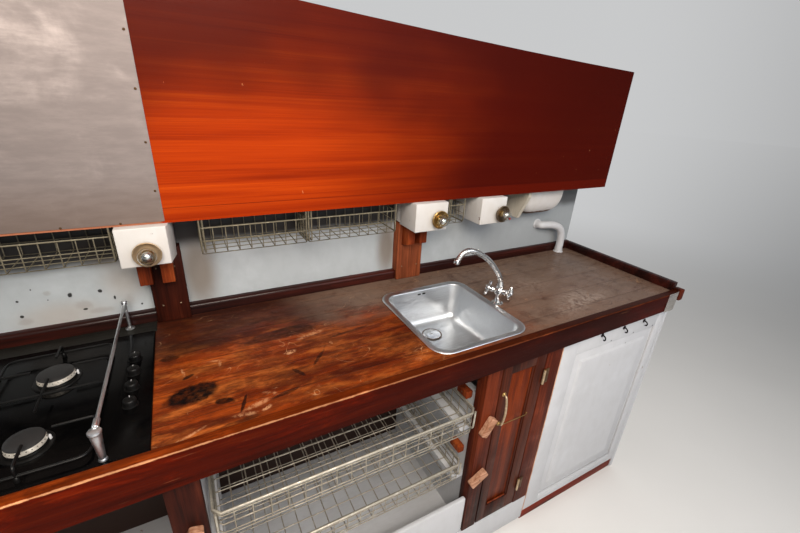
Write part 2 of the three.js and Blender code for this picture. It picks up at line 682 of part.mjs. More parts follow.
// Fixed white panel with a groove round its middle, on a strip that reaches the floor
function makeWhitePanel() {
  const x0 = POST_RIGHT.x1 + GAP, x1 = RIGHT - END - GAP;
  const z0 = WHITE_LOW, z1 = UNDER - GAP;
  const y = BOARD_Y + GAP;
  const groove = 8;
  const rail = { left: 90, right: 47, low: 52, high: 127 };
  const middle = (d, back) => block(x0 + rail.left + d, x1 - rail.right - d, y - 1, back,
    z0 + rail.low + d, z1 - rail.high - d);
  const cut = middle(0, y + 4).subtract(middle(groove, y + 5));
  const strip = block(x0, x1, y + 4, PLINTH_Y - GAP, 0, z0 + 1);
  add('white_panel', 'white', join(block(x0, x1, y, y + BOARD, z0, z1).subtract(cut), strip));
}

makeWorktop();
makeFrontBoard();
makeFillet();
makeBackboard();
makeUpperPosts();
makeUpperPanel();
makeUpperFrame();
makeLampBoxes();
makeHousing();
makeWallPipe();
makeRacks();
makeSink();
makeTap();
makeHob();
makePanSupports();
makeHobRails();
makeCarcass();
makeBaskets();
makeTurnButtons();
makeDoor();
makeWhitePanel();

unit.position.set(-(LEFT + RIGHT) / 2, -DEPTH / 2, 0);

export default unit;
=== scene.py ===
import bpy
import bmesh
import math
from mathutils import Matrix, Vector


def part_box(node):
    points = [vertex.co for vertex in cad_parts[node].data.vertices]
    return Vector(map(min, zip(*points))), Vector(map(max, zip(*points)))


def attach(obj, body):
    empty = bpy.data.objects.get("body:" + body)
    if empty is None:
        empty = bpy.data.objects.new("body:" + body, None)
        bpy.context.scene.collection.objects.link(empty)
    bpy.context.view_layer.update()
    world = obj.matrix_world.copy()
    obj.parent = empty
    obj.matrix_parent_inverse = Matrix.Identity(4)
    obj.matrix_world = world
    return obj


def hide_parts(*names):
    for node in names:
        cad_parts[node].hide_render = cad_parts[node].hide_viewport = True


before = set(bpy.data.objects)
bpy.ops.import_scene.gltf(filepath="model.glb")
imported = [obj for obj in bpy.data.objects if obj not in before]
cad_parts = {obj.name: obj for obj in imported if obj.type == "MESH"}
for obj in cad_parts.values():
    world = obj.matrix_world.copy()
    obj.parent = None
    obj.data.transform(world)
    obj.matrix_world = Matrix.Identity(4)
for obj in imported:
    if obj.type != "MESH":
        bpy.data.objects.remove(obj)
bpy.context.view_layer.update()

# Places are in millimetres from the hob's right edge, the front board's face and the worktop's top
MM = 0.001
HOB_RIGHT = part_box("hob_glass")[1].x
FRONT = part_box("front_board")[0].y
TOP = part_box("worktop")[1].z
TAU = 2 * math.pi
X, Y, Z = range(3)
AHEAD = (0, -1, 0)


def at(x, y, z):
    return Vector((HOB_RIGHT + x * MM, FRONT + y * MM, TOP + z * MM))


def box_mm(node):
    """A node's box in the same millimetres as at(): x0, x1, y0, y1, z0, z1."""
    low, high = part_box(node)
    base = at(0, 0, 0)
    low, high = (low - base) / MM, (high - base) / MM
    return low.x, high.x, low.y, high.y, low.z, high.z


LEFT, RIGHT = box_mm("worktop")[:2]
BACK = box_mm("backboard")[2]
PANEL_LOW = box_mm("upper_panel")[4]

# Camera
CAMERA_AT = at(140.2, -733.0, 711.4)
CAMERA_FORWARD = Vector((0.45695, 0.79816, -0.39259))
CAMERA_UP = Vector((0.14526, 0.36848, 0.91821))
LENS = 17.63
SENSOR = 36


def make_camera():
    data = bpy.data.cameras.new("camera")
    data.lens = LENS
    data.sensor_width = SENSOR
    data.clip_start = 0.02
    camera = bpy.data.objects.new("camera", data)
    right = CAMERA_FORWARD.cross(CAMERA_UP).normalized()
    up = right.cross(CAMERA_FORWARD).normalized()
    turn = Matrix((right, up, -CAMERA_FORWARD.normalized())).transposed()
    camera.matrix_world = Matrix.Translation(CAMERA_AT) @ turn.to_4x4()
    bpy.context.scene.collection.objects.link(camera)
    bpy.context.scene.camera = camera


make_camera()


# Nodes

class Value:
    """An output socket of a node. A sum with it adds a Math node to its tree."""

    def __init__(self, tree, socket):
        self.tree = tree
        self.socket = socket

    def __add__(self, other):
        return maths("ADD", self, other)

    def __sub__(self, other):
        return maths("SUBTRACT", self, other)

    def __rsub__(self, other):
        return maths("SUBTRACT", other, self)

    def __mul__(self, other):
        return maths("MULTIPLY", self, other)

    def __truediv__(self, other):
        return maths("DIVIDE", self, other)


def colour(code):
    """A linear colour from a hexadecimal sRGB code."""
    parts = [int(code[i:i + 2], 16) / 255 for i in (1, 3, 5)]
    return (*(c / 12.92 if c <= 0.04045 else ((c + 0.055) / 1.055) ** 2.4 for c in parts), 1)


def link(value, socket):
    value.tree.links.new(value.socket, socket)


def put(tree, kind, inputs=None, **settings):
    """Adds a node. An input is a number, a colour code, or a value that is linked to it."""
    node = tree.nodes.new(kind)
    for name, setting in settings.items():
        setattr(node, name, setting)
    for name, value in (inputs or {}).items():
        if isinstance(value, Value):
            link(value, node.inputs[name])
        else:
            node.inputs[name].default_value = colour(value) if isinstance(value, str) else value
    return node


def add(tree, kind, inputs=None, output=0, **settings):
    """Adds a node and gives one of its outputs."""
    return Value(tree, put(tree, kind, inputs, **settings).outputs[output])


def maths(operation, a, b=0.5):
    tree = (a if isinstance(a, Value) else b).tree
    return add(tree, "ShaderNodeMath", {0: a, 1: b}, operation=operation)


def vectors(operation, a, b=(0, 0, 0), output=0):
    return add(a.tree, "ShaderNodeVectorMath", {0: a, 1: b}, output, operation=operation)


def blend(factor, a, b):
    return add(factor.tree, "ShaderNodeMix", {0: factor, 6: a, 7: b}, 2, data_type="RGBA")


def span(value, low, high, to_low=0.0, to_high=1.0):
    """Maps low..high of a value to to_low..to_high, smoothly and clamped."""
    inputs = {0: value, 1: low, 2: high, 3: to_low, 4: to_high}
    return add(value.tree, "ShaderNodeMapRange", inputs, interpolation_type="SMOOTHSTEP")


def between(value, axis, a, b, to_low=0.0, to_high=1.0):
    """span() from one place to another on an axis, in millimetres."""
    return span(value, at(a, a, a)[axis], at(b, b, b)[axis], to_low, to_high)


def noise(place, scale, detail=4.0, roughness=0.5, distortion=0.0):
    inputs = {"Vector": place, "Scale": scale, "Detail": detail, "Roughness": roughness,
              "Distortion": distortion}
    return add(place.tree, "ShaderNodeTexNoise", inputs, "Fac")


def mapped(place, scale=(1, 1, 1), turn=(0, 0, 0)):
    inputs = {"Vector": place, "Scale": scale, "Rotation": turn}
    return add(place.tree, "ShaderNodeMapping", inputs)


def split(place):
    node = put(place.tree, "ShaderNodeSeparateXYZ", {0: place})
    return [Value(place.tree, socket) for socket in node.outputs]


def new_sockets(tree, way, table):
    """Adds a group's sockets, from a table of labels for each kind."""
    for kind, labels in table.items():
        for label in labels:
            tree.interface.new_socket(label, in_out=way, socket_type="NodeSocket" + kind)


def given_to(tree):
    """The values that a group is given, by name."""
    start = tree.nodes.new("NodeGroupInput")
    return {socket.name: Value(tree, socket) for socket in start.outputs}


def new_group(name, inputs, outputs):
    """An empty shader group: its given values and the inputs of its output node."""
    tree = bpy.data.node_groups.new(name, "ShaderNodeTree")
    new_sockets(tree, "INPUT", inputs)
    new_sockets(tree, "OUTPUT", outputs)
    return given_to(tree), tree.nodes.new("NodeGroupOutput").inputs


def use(group, inputs):
    """Adds a group and gives its outputs by name."""
    tree = inputs["Vector"].tree
    node = put(tree, "ShaderNodeGroup", inputs, node_tree=group)
    return {socket.name: Value(tree, socket) for socket in node.outputs}


def group_wood_grain():
    """Long streaks, fine fibres and pores along X, between three colours."""
    given, result = new_group("wood_grain", {
        "Vector": ["Vector"], "Color": ["Light", "Middle", "Dark"], "Float": ["Figure", "Fibre"]},
        {"Color": ["Colour"], "Float": ["Height"]})
    place = given["Vector"]
    streaks = noise(mapped(place, (1.1, 13, 13)), 1.0, 4, 0.55, 0.8)
    fibre = noise(mapped(place, (5, 150, 150)), 1.0, 4, 0.6)
    pores = span(noise(mapped(place, (22, 700, 700)), 1.0, 2), 0.58, 0.7)
    tone = (streaks - 0.5) * given["Figure"] + (fibre - 0.5) * given["Fibre"] + 0.5
    lower = blend(span(tone, 0.28, 0.52), given["Dark"], given["Middle"])
    upper = blend(span(tone, 0.48, 0.72), lower, given["Light"])
    link(blend(pores * 0.3, upper, given["Dark"]), result["Colour"])
    link(fibre - pores * 0.5, result["Height"])
    return place.tree


def group_edge_wear():
    """A mask that is 1 on edges and falls off within Width, broken up by noise."""
    given, result = new_group("edge_wear", {"Vector": ["Vector"], "Float": ["Width", "Amount"]},
                              {"Float": ["Mask"]})
    place = given["Vector"]
    soft = add(place.tree, "ShaderNodeBevel", {"Radius": given["Width"]}, samples=6)
    true_normal = add(place.tree, "ShaderNodeNewGeometry", output="Normal")
    match = vectors("DOT_PRODUCT", soft, true_normal, "Value")
    gate = span(noise(place, 30.0, 5, 0.6) + (given["Amount"] - 0.5), 0.45, 0.6)
    link(span(match, 0.985, 0.8) * gate, result["Mask"])
    return place.tree


def group_patches():
    """Blotches: Cover is the share of the surface, Soft their blur."""
    given, result = new_group("patches", {
        "Vector": ["Vector"], "Float": ["Scale", "Cover", "Soft", "Ragged"]}, {"Float": ["Mask"]})
    field = noise(given["Vector"], given["Scale"], 6, given["Ragged"], 0.4)
    edge = 0.72 - given["Cover"] * 0.44
    link(span(field, edge - given["Soft"], edge), result["Mask"])
    return given["Vector"].tree


def group_spot():
    """One ragged mark, with its centre and reach in metres."""
    given, result = new_group("spot", {
        "Vector": ["Vector", "Centre", "Reach", "Turn"], "Float": ["Ragged", "Break", "Soft"]},
        {"Float": ["Mask"]})
    place = given["Vector"]
    away = vectors("SUBTRACT", place, given["Centre"])
    level = add(place.tree, "ShaderNodeVectorRotate", {"Vector": away, "Rotation": given["Turn"]},
                rotation_type="EULER_XYZ")
    far = vectors("LENGTH", vectors("DIVIDE", level, given["Reach"]), output="Value")
    rough = noise(place, given["Break"], 5, 0.65) - 0.5
    far = far + rough * (given["Ragged"] * 3.0)
    link(span(far, given["Soft"] + 0.95, 0.95 - given["Soft"]), result["Mask"])
    return place.tree


WOOD_GRAIN = group_wood_grain()
EDGE_WEAR = group_edge_wear()
PATCHES = group_patches()
SPOT = group_spot()


def grain(place, light, middle, dark, figure=1.0, fibre=0.6):
    return use(WOOD_GRAIN, {"Vector": place, "Light": light, "Middle": middle, "Dark": dark,
                            "Figure": figure, "Fibre": fibre})


def edge_wear(place, width, amount):
    return use(EDGE_WEAR, {"Vector": place, "Width": width, "Amount": amount})["Mask"]


def patches(place, scale, cover, soft, ragged=0.6):
    return use(PATCHES, {"Vector": place, "Scale": scale, "Cover": cover, "Soft": soft,
                         "Ragged": ragged})["Mask"]


def spot(place, centre, reach, dense, ragged, soft, turn=0.0):
    return use(SPOT, {"Vector": place, "Centre": centre, "Reach": reach, "Break": dense,
                      "Ragged": ragged, "Soft": soft, "Turn": (0, 0, turn)})["Mask"]


def socket_name(label):
    return label.replace("_", " ").title()


def new_material(name, shine=0.5, **constants):
    """A material with one Principled shader; returns it with its shader and place."""
    material = bpy.data.materials.new(name)
    material.use_nodes = True
    tree = material.node_tree
    shader = tree.nodes["Principled BSDF"]
    shader.inputs["Specular IOR Level"].default_value = shine
    for label, value in constants.items():
        shader.inputs[socket_name(label)].default_value = value
    return material, shader, add(tree, "ShaderNodeTexCoord", output="Object")


def feed(shader, **values):
    for label, value in values.items():
        link(value, shader.inputs[socket_name(label)])


def bump(shader, height, depth, strength):
    inputs = {"Height": height, "Distance": depth, "Strength": strength}
    link(add(height.tree, "ShaderNodeBump", inputs), shader.inputs["Normal"])


# Finishes

def varnished_wood(name, light, middle, dark, gloss, along="X", figure=1.0, wear=0.35,
                   worn="#c07a44", coat=0.05, grime=0.35):
    """Varnished boards with the grain along X or Z and pale worn edges."""
    material, shader, place = new_material(name, shine=0.08, coat_weight=coat, coat_roughness=0.15)
    turn = (0, math.pi / 2 if along == "Z" else 0, 0)
    wood = grain(mapped(place, turn=turn), light, middle, dark, figure)
    shade = blend(edge_wear(place, 0.0025, wear) * 0.7, wood["Colour"], worn)
    dirt = patches(place, 7.0, 0.45, 0.3)
    feed(shader, base_color=blend(dirt * grime, shade, dark), roughness=dirt * 0.22 + gloss)
    bump(shader, wood["Height"], 0.0004, 0.5)
    return material


def panel_wood():
    """Veneer of the upper panel, with a darker lower strip; painted shade darkens the right end and
    the upper part, so the left stays bright.
    """
    material, shader, place = new_material("panel_wood", shine=0.04)
    wood = grain(mapped(place, (0.5, 2.6, 2.6)), "#b8440a", "#9c3005", "#7c1f03", 0.7, 0.35)
    x, _, z = split(place)
    sway = (noise(mapped(place, (0.8, 1, 1.6)), 1.6, 3) - 0.5) * 0.6
    # Painted shade: the veneer darkens towards the right end and towards the top.
    right = between(x + sway, X, 400, 1180)
    shade = blend(right * 0.96, wood["Colour"], "#3c0703")
    shade = blend(between(z + sway, Z, 470, 860) * 0.9, shade, "#3a0904")
    seam_z = at(0, 0, PANEL_LOW + 40).z
    height = z + noise(place, 3.0, 2) * 0.002
    strip = span(height, seam_z + 0.0035, seam_z + 0.0015)
    shade = blend(strip * 0.22, shade, "#7a1c05")
    seam = span(height, seam_z, seam_z + 0.001) * span(height, seam_z + 0.0032, seam_z + 0.002)
    shade = blend(seam * 0.6, shade, "#4a0f04")
    bare = between(z, Z, PANEL_LOW + 12, PANEL_LOW + 4) * between(x, X, 80, 70)
    shade = blend(bare * 0.85, shade, "#a06a50")
    nicks = span(noise(mapped(place, (60, 1, 22)), 1.0, 3, 0.7), 0.73, 0.78)
    feed(shader, base_color=blend(nicks * 0.5, shade, "#e9a06a"), roughness=right * 0.1 + 0.34)
    bump(shader, wood["Height"] - seam, 0.0003, 0.5)
    return material


def worktop_grain(place):
    return grain(place, "#b3551b", "#8b380e", "#531a05", 1.1, 0.5)


def front_wood():
    """The front board: orange-brown top and, at the left, a worn nose edge with a painted
    highlight, nearly black at mid length.
    """
    material, shader, place = new_material("front_wood", shine=0.03)
    wood = grain(place, "#7c2708", "#5e1403", "#360a02", 1.0, 0.4)
    x, y, z = split(place)
    right = between(x, X, 0, 1250)
    shade = blend(right * 0.88, wood["Colour"], "#190403")
    shade = blend(between(x, X, 1500, 1850) * 0.5, shade, "#5a1209")
    upper = blend(right * 0.9, worktop_grain(place)["Colour"], "#35170d")
    shade = blend(between(z, Z, 6.5, 8.5) * 0.95, shade, upper)
    near = maths("MAXIMUM", y - FRONT, at(0, 0, 9).z - z)
    near = near + noise(mapped(place, (0.35, 1, 1)), 60.0, 5, 0.7) * 0.007
    # The nose edge: pale wear with a painted highlight, brightest at the left and fading to the
    # right.
    arris_wear_and_highlight = span(near, 0.0074, 0.0052)
    worn = blend(right, "#f5ae7c", "#a85a34")
    shade = blend(arris_wear_and_highlight * between(x, X, 100, 1300, 1.0, 0.3), shade, worn)
    marks = span(noise(mapped(place, (7, 1, 170)), 1.0, 3, 0.6), 0.7, 0.76)
    shade = blend(marks * 0.2, shade, "#c98a60")
    smoke = patches(mapped(place, (0.5, 1, 1.6)), 9.0, 0.45, 0.2, 0.7)
    feed(shader, base_color=blend(smoke * 0.6, shade, "#1d0603"), roughness=arris_wear_and_highlight * 0.15 + 0.3)
    bump(shader, wood["Height"], 0.0004, 0.5)
    return material


def painted(name, base, under, gloss=0.5, chips=0.04, chip_scale=14.0, dirt="#6f6a60",
            dirt_strength=0.35, brush=0.3, flaked_below=None, marks=None):
    """Brushed paint on wood, with chips, grime and faint brush marks."""
    material, shader, place = new_material(name, shine=0.3)
    bare = patches(place, chip_scale, chips, 0.02, 0.7)
    bare = maths("MAXIMUM", bare, edge_wear(place, 0.003, 0.4) * 0.8)
    if flaked_below is not None:
        level = split(place)[Z] + noise(place, 45.0, 5, 0.7) * 0.03
        bare = maths("MAXIMUM", bare, span(level, flaked_below + 0.018, flaked_below + 0.014))
    streaks = noise(mapped(place, (14, 60, 8)), 2.0, 4)
    tone = blend(span(streaks, 0.35, 0.75, 0.0, brush), base, dirt)
    tone = blend(patches(place, 4.0, 0.4, 0.35) * dirt_strength, tone, dirt)
    shade = blend(bare, tone, under)
    if marks:
        shade = marks(place, shade)
    feed(shader, base_color=shade, roughness=bare * 0.3 + gloss)
    bump(shader, streaks * 0.3 - bare, 0.0006, 0.6)
    return material


# Marks and painted shadow on the backboard: tint, strength, softness, raggedness, and x, z, half
# width and half height of each mark. The first set is painted shadow beside the posts and under the
# left rack; the last set are chips in the paint.
WALL_MARKS_AND_SHADE = [
    # Painted shadow beside the posts and under the left rack
    ("#6b5c4c", 0.75, 0.6, 0.1, [(148, 150, 52, 130), (850, 140, 40, 110), (-95, 250, 60, 46)]),
    ("#a79c92", 0.5, 0.8, 0.2, [(-230, 60, 90, 40), (-60, 150, 50, 60)]),
    ("#8a827c", 0.35, 0.6, 1.1, [(-174, 85, 16, 12), (-320, 60, 14, 10), (-140, 60, 30, 8),
                                 (-250, 140, 9, 7), (-60, 80, 12, 20)]),
    ("#14110f", 0.95, 0.2, 0.6, [(-201, 125, 7, 9), (-319, 127, 3, 3), (-174, 72, 6, 3),
                                 (-128, 125, 5, 5), (-320, 78, 5, 5), (-253, 119, 2, 2),
                                 (-245, 33, 4, 2), (-283, 158, 2, 2), (-96, 96, 3, 6),
                                 (-30, 60, 3, 3)]),
]


def wall_marks(place, shade):
    """Painted shadow under the upper panel and beside the posts, painted shade that greys the right
    part and darkens the wall below the worktop, raw plywood at the rear."""
    for tint, strength, soft, ragged, table in WALL_MARKS_AND_SHADE:
        for x, z, wide, tall in table:
            mask = spot(place, at(x, BACK, z), (wide * MM, 100, tall * MM),
                        0.5 / (wide + tall) / MM, ragged, soft)
            shade = blend(mask * strength, shade, tint)
    x, y, z = split(place)
    height = z + noise(place, 6.0, 4) * 0.03 + between(x, X, -30, -50, 0.0, 0.034)
    # Painted shadow under the upper panel, reaching lower at the left end.
    shade = blend(between(height, Z, 238, 284, 0.0, 0.96), shade, "#17100d")
    # Painted shade: the wall greys towards the right.
    shade = blend(between(x, X, 900, 1400, 0.0, 0.45), shade, "#85898c")
    # Painted shade: the wall is dark below the worktop, in the space under it.
    shade = blend(between(z, Z, -4, -9), shade, "#2b1a13")
    fibre = span(noise(mapped(place, (1.5, 1, 22)), 4.0, 5, 0.6), 0.3, 0.75)
    return blend(between(y, Y, BACK + 4, BACK + 5), shade, blend(fibre, "#a38a6c", "#7f6749"))


def brushed_metal(name, base, shade, rough, stretch=(2, 90, 90), spots=0.3, tint=0.35,
                  groove=0.25, soiled=None):
    """Metal with fine lines along X and dull spots, browned below the height soiled."""
    material, shader, place = new_material(name, metallic=1.0)
    lines = noise(mapped(place, stretch), 6.0, 6, 0.7)
    dull = patches(place, 9.0, spots, 0.3)
    tone = blend(dull * tint, blend(span(lines, 0.3, 0.75), shade, base), shade)
    if soiled is not None:
        low = span(split(place)[Z], soiled + 0.12, soiled - 0.03, 0.0, 0.45)
        tone = blend(low, tone, "#7a6455")
    feed(shader, base_color=tone, roughness=dull * 0.18 + rough + lines * 0.08)
    bump(shader, lines, 0.0002, groove)
    return material


def plated(name, base, shade, rough=0.08, spots=0.25, tarnish=0.5, metallic=1.0):
    """Bright plated or cast metal with spots and tarnish."""
    material, shader, place = new_material(name, metallic=metallic)
    mask = patches(place, 38.0, spots, 0.2)
    feed(shader, base_color=blend(mask * tarnish, base, shade), roughness=mask * 0.25 + rough)
    bump(shader, noise(place, 220.0, 3), 0.0001, 0.2)
    return material


# Marks on the worktop: centre x and y, reach along and across, turn in degrees, strength
BLACK_MARKS = [
    (92, 188, 58, 36, 16, 1.0), (153, 130, 24, 10, -14, 0.95), (196, 103, 38, 5, 70, 0.95),
    (37, 368, 26, 13, 0, 0.75), (78, 262, 14, 6, 30, 0.85), (350, 160, 7, 30, 30, 0.8),
    (300, 95, 38, 7, 12, 0.7), (420, 205, 6, 44, -40, 0.7), (345, 372, 120, 34, 4, 0.7),
    (170, 40, 60, 8, 6, 0.6), (560, 300, 70, 6, 8, 0.6),
]
PALE_MARKS = [
    (352, 262, 16, 8, 20, 0.75), (244, 62, 12, 7, 30, 0.7), (68, 285, 4, 18, 10, 0.55),
    (150, 308, 22, 4, -12, 0.55), (160, 292, 4, 14, -8, 0.5), (225, 84, 30, 9, 15, 0.5),
    (196, 60, 24, 7, -10, 0.45), (430, 330, 44, 9, 12, 0.5), (70, 44, 34, 4, 25, 0.55),
    (262, 110, 20, 5, -30, 0.4),
]
GREY_MARKS = [
    (1470, 150, 105, 46, 20, 0.6), (1590, 128, 80, 26, 8, 0.45), (1400, 330, 120, 60, 10, 0.3),
]
PLANK = 0.112


def hairlines(place, shade, scale, patch, tint, strength):
    """Thin curled scratches, in patches."""
    away = maths("ABSOLUTE", noise(place, scale, 1.5, 0.5, 1.2) - 0.5)
    mask = span(away, 0.006, 0.002) * patches(place, patch, 0.22, 0.08)
    return blend(mask * strength, shade, tint)


def worktop_wood():
    """Old varnished boards: vivid at the left front, dark and greyed behind, dull at the right."""
    material, shader, place = new_material("worktop_wood", shine=0.12)
    x, y, _ = split(place)
    warp = (noise(place, 5.0, 4) - 0.5) * 0.35
    along, depth = x + warp, y + warp
    wood = worktop_grain(place)
    glow = span(noise(mapped(place, (2.4, 7, 1)), 1.6, 6, 0.7), 0.46, 0.62, 0.0, 0.85)
    shade = blend(glow, wood["Colour"], "#c46c2e")
    char = span(noise(mapped(place, (3.0, 8.5, 1)), 1.4, 6, 0.72), 0.52, 0.66, 0.0, 0.7)
    shade = blend(char, shade, "#3a1206")
    blotch = patches(mapped(place, (0.7, 1.3, 1)), 5.0, 0.5, 0.22, 0.7)
    shade = blend(blotch * between(along, X, 120, 480, 0.25, 1.0) * 0.5, shade, "#451505")
    stain = patches(mapped(place, (0.6, 2.2, 1)), 13.0, 0.36, 0.14, 0.75)
    shade = blend(stain * 0.5, shade, "#2c0d05")
    behind = between(depth, Y, 310, 440)
    shade = blend(behind * 0.8, shade, "#2b1610")
    right_end = between(along, X, 850, 1250)
    shade = blend(right_end * 0.86, shade, "#2f130a")
    greyed = maths("MAXIMUM", right_end, behind * between(along, X, 330, 700))
    shade = blend(greyed * patches(place, 12.0, 0.42, 0.34, 0.8) * 0.45, shade, "#97806f")
    for turn, strength, tint in ((0.12, 0.42, "#d9a56e"), (-0.5, 0.5, "#240b05"),
                                 (0.9, 0.3, "#d0a078")):
        lines = noise(mapped(place, (5, 150, 1), (0, 0, turn)), 3.0, 4, 0.7)
        shade = blend(span(lines, 0.66, 0.75, 0.0, strength), shade, tint)
    shade = hairlines(place, shade, 11.0, 9.0, "#dba97c", 0.4)
    shade = hairlines(place, shade, 8.0, 6.0, "#1c0804", 0.55)
    fine = span(noise(place, 60.0, 5, 0.7), 0.35, 0.6, 0.8, 1.0)
    broken = span(noise(place, 75.0, 5, 0.75), 0.42, 0.56)
    for table, tint, soft, texture in ((BLACK_MARKS, "#0b0605", 0.18, fine),
                                       (PALE_MARKS, "#d39c70", 0.45, broken),
                                       (GREY_MARKS, "#a9988c", 0.9, broken)):
        for u, v, reach, across, turn, strength in table:
            mask = spot(place, at(u, v, 0), (reach * MM, across * MM, 1), 900 / (reach + across),
                        0.55, soft, math.radians(-turn))
            shade = blend(mask * texture * strength, shade, tint)
    row = maths("FRACT", y / PLANK)
    seam = maths("MAXIMUM", span(row, 0.018, 0.006), span(row, 0.982, 0.994))
    feed(shader, base_color=blend(seam * 0.45, shade, "#1d0b06"),
         roughness=stain * 0.15 + 0.34 - right_end * 0.12)
    bump(shader, wood["Height"] - seam, 0.0006, 0.6)
    return material


def clear_glass(name):
    material, shader, place = new_material(name, roughness=0.02, base_color=colour("#f6f8f6"),
                                           transmission_weight=1.0)
    shader.inputs["IOR"].default_value = 1.45
    bump(shader, noise(place, 60.0, 2), 0.0002, 0.1)
    return material


def glossy_black(name, base, rough=0.06, shine=0.35):
    """Glass, enamel or plastic with faint smears and dust."""
    material, shader, place = new_material(name, shine=shine)
    smears = patches(place, 12.0, 0.3, 0.3)
    tone = blend(smears * 0.008, base, "#777166")
    specks = span(noise(place, 420.0, 2), 0.66, 0.74)
    feed(shader, base_color=blend(specks * 0.04, tone, "#a49c90"), roughness=smears * 0.14 + rough)
    return material


WORKTOP = worktop_wood()
FRONT_WOOD = front_wood()
FILLET_WOOD = varnished_wood("fillet_wood", "#4a1b13", "#2f100b", "#140605", 0.26, coat=0.25,
                             wear=0.2)
PANEL_WOOD = panel_wood()
POST_WOOD = varnished_wood("post_wood", "#7c3418", "#541d0c", "#250b05", 0.38, "Z")
# A darker copy of the post wood: painted shade for the left posts.
SHADED_POST_WOOD = varnished_wood("shaded_post_wood", "#572414", "#3a140a", "#1a0704", 0.36, "Z")
SHORT_POST_WOOD = varnished_wood("short_post_wood", "#b2603a", "#84442a", "#43200f", 0.42, "Z")
PLINTH_WOOD = varnished_wood("plinth_wood", "#9a3a20", "#7a2412", "#3a0f08", 0.4)
WEDGE_WOOD = varnished_wood("wedge_wood", "#ab5527", "#8a3a1a", "#4a1c0d", 0.45, "Z",
                            worn="#cf8a58")
DOOR_WOOD = varnished_wood("door_wood", "#5c2a18", "#40190d", "#1e0a05", 0.3, "Z", figure=1.2)
DOOR_PANEL_WOOD = varnished_wood("door_panel_wood", "#913a0b", "#682406", "#381103", 0.24, "Z",
                                 figure=1.4, grime=0.5)
BUTTON_WOOD = varnished_wood("button_wood", "#e8c0a6", "#d2a286", "#8d5f46", 0.5, wear=0.4,
                             worn="#e0b98c")
WHITE_PAINT = painted("white_paint", "#ccced3", "#8d7a66", chips=0.03, dirt_strength=0.15,
                      brush=0.07)
CREAM_PAINT = painted("cream_paint", "#d5d6d9", "#6a4a30", 0.3, chip_scale=30.0, dirt="#a89a84",
                      dirt_strength=0.3, brush=0.12,
                      flaked_below=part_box("lamp_box_1")[0].z - 0.004)
LINING_PAINT = painted("lining_paint", "#b9c0c5", "#5b5048", 0.4, chips=0.03, chip_scale=26.0,
                       dirt="#84898c", brush=0.15, marks=wall_marks)
SOFFIT_PAINT = painted("soffit_paint", "#d6d0c3", "#7d6c58", 0.4, dirt="#8b8272")
STEEL = brushed_metal("brushed_steel", "#e7eaee", "#c6cace", 0.24)
SHEET_STEEL = brushed_metal("sheet_steel", "#aaa09d", "#8d8482", 0.5, (2, 5, 9), 0.45, 0.5, 0.05,
                            soiled=at(0, 0, 400).z)
DULL_SHEET = brushed_metal("dull_sheet", "#6f6d68", "#35332f", 0.34, spots=0.55, tint=0.7)
GUARD_STEEL = brushed_metal("guard_steel", "#d3d0cc", "#aaa6a1", 0.45, groove=0.05)
CHROME = plated("chrome", "#ececec", "#8f8f8c")
WIRE = plated("basket_wire", "#b3ac9e", "#6a6052", 0.36, 0.45, metallic=0.5)
RACK_WIRE = plated("rack_wire", "#8f8874", "#4a4335", 0.4, 0.5, metallic=0.5)
RIM_WIRE = plated("rim_wire", "#cfcabd", "#8a8272", 0.3, 0.4, metallic=0.6)
BLACK_GLASS = glossy_black("black_glass", "#030304", shine=0.05)
ENAMEL = glossy_black("black_enamel", "#0a0a0b", 0.25, 0.2)
CAP_ENAMEL = glossy_black("cap_enamel", "#232324", 0.34, 0.4)
CROWN_METAL = plated("crown_metal", "#f1ece2", "#8d857a", 0.4, 0.3, metallic=0.5)
STRAINER = plated("strainer_metal", "#8a8078", "#5a4031", 0.3, 0.55)
# Black for holes, slots and flame ports: painted shade of openings.
HOLE_SHADE = glossy_black("hole_shade", "#050505", 0.6)
BRASS = plated("aged_brass", "#c4a36a", "#6b5330", 0.28, 0.4)
DARK_BRASS = plated("dark_brass", "#5f4426", "#33200f", 0.4, 0.5, metallic=0.6)
PALE_BRASS = plated("pale_brass", "#d6bfa0", "#7a6348", 0.34, 0.45, metallic=0.7)
BRONZE = plated("dull_bronze", "#9a8872", "#4c3d2a", 0.36, 0.45)
CLEAR = clear_glass("lamp_glass")
SILVERED = plated("silvered_glass", "#f0efec", "#a9a7a2", 0.05, 0.3, 0.3)
# A dark tube laid in the white panel's groove: painted shadow.
GROOVE_SHADOW = glossy_black("groove_shadow", "#4a423a", 0.6, 0.1)
RED = glossy_black("red_cap", "#a3201c", 0.3)

NODE_FINISHES = {
    "worktop": WORKTOP, "backboard": LINING_PAINT, "upper_panel": PANEL_WOOD,
    "upper_frame": SOFFIT_PAINT, "sink_waste": CHROME, "hob_tray": STEEL,
    "end_panel_left": POST_WOOD, "end_panel_right": WHITE_PAINT, "plinth": PLINTH_WOOD,
    "wall_left": WHITE_PAINT, "wall_mid": WHITE_PAINT, "wall_right": WHITE_PAINT,
}


def finish_nodes():
    for name, material in NODE_FINISHES.items():
        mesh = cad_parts[name].data
        mesh.materials.clear()
        mesh.materials.append(material)


finish_nodes()


# Shapes, each a bmesh built from places in millimetres

def bevelled(bm, r, steps):
    bmesh.ops.bevel(bm, geom=bm.edges[:], offset=r * MM, segments=steps, profile=0.5,
                    affect="EDGES", clamp_overlap=True)
    return bm


def box(x0, x1, y0, y1, z0, z1, r=1.5, steps=2):
    """A box with rounded edges."""
    bm = bmesh.new()
    bmesh.ops.create_cube(bm, size=1)
    low, high = at(x0, y0, z0), at(x1, y1, z1)
    for vertex in bm.verts:
        vertex.co = Vector([low[i] + (vertex.co[i] + 0.5) * (high[i] - low[i]) for i in range(3)])
    return bevelled(bm, r, steps)


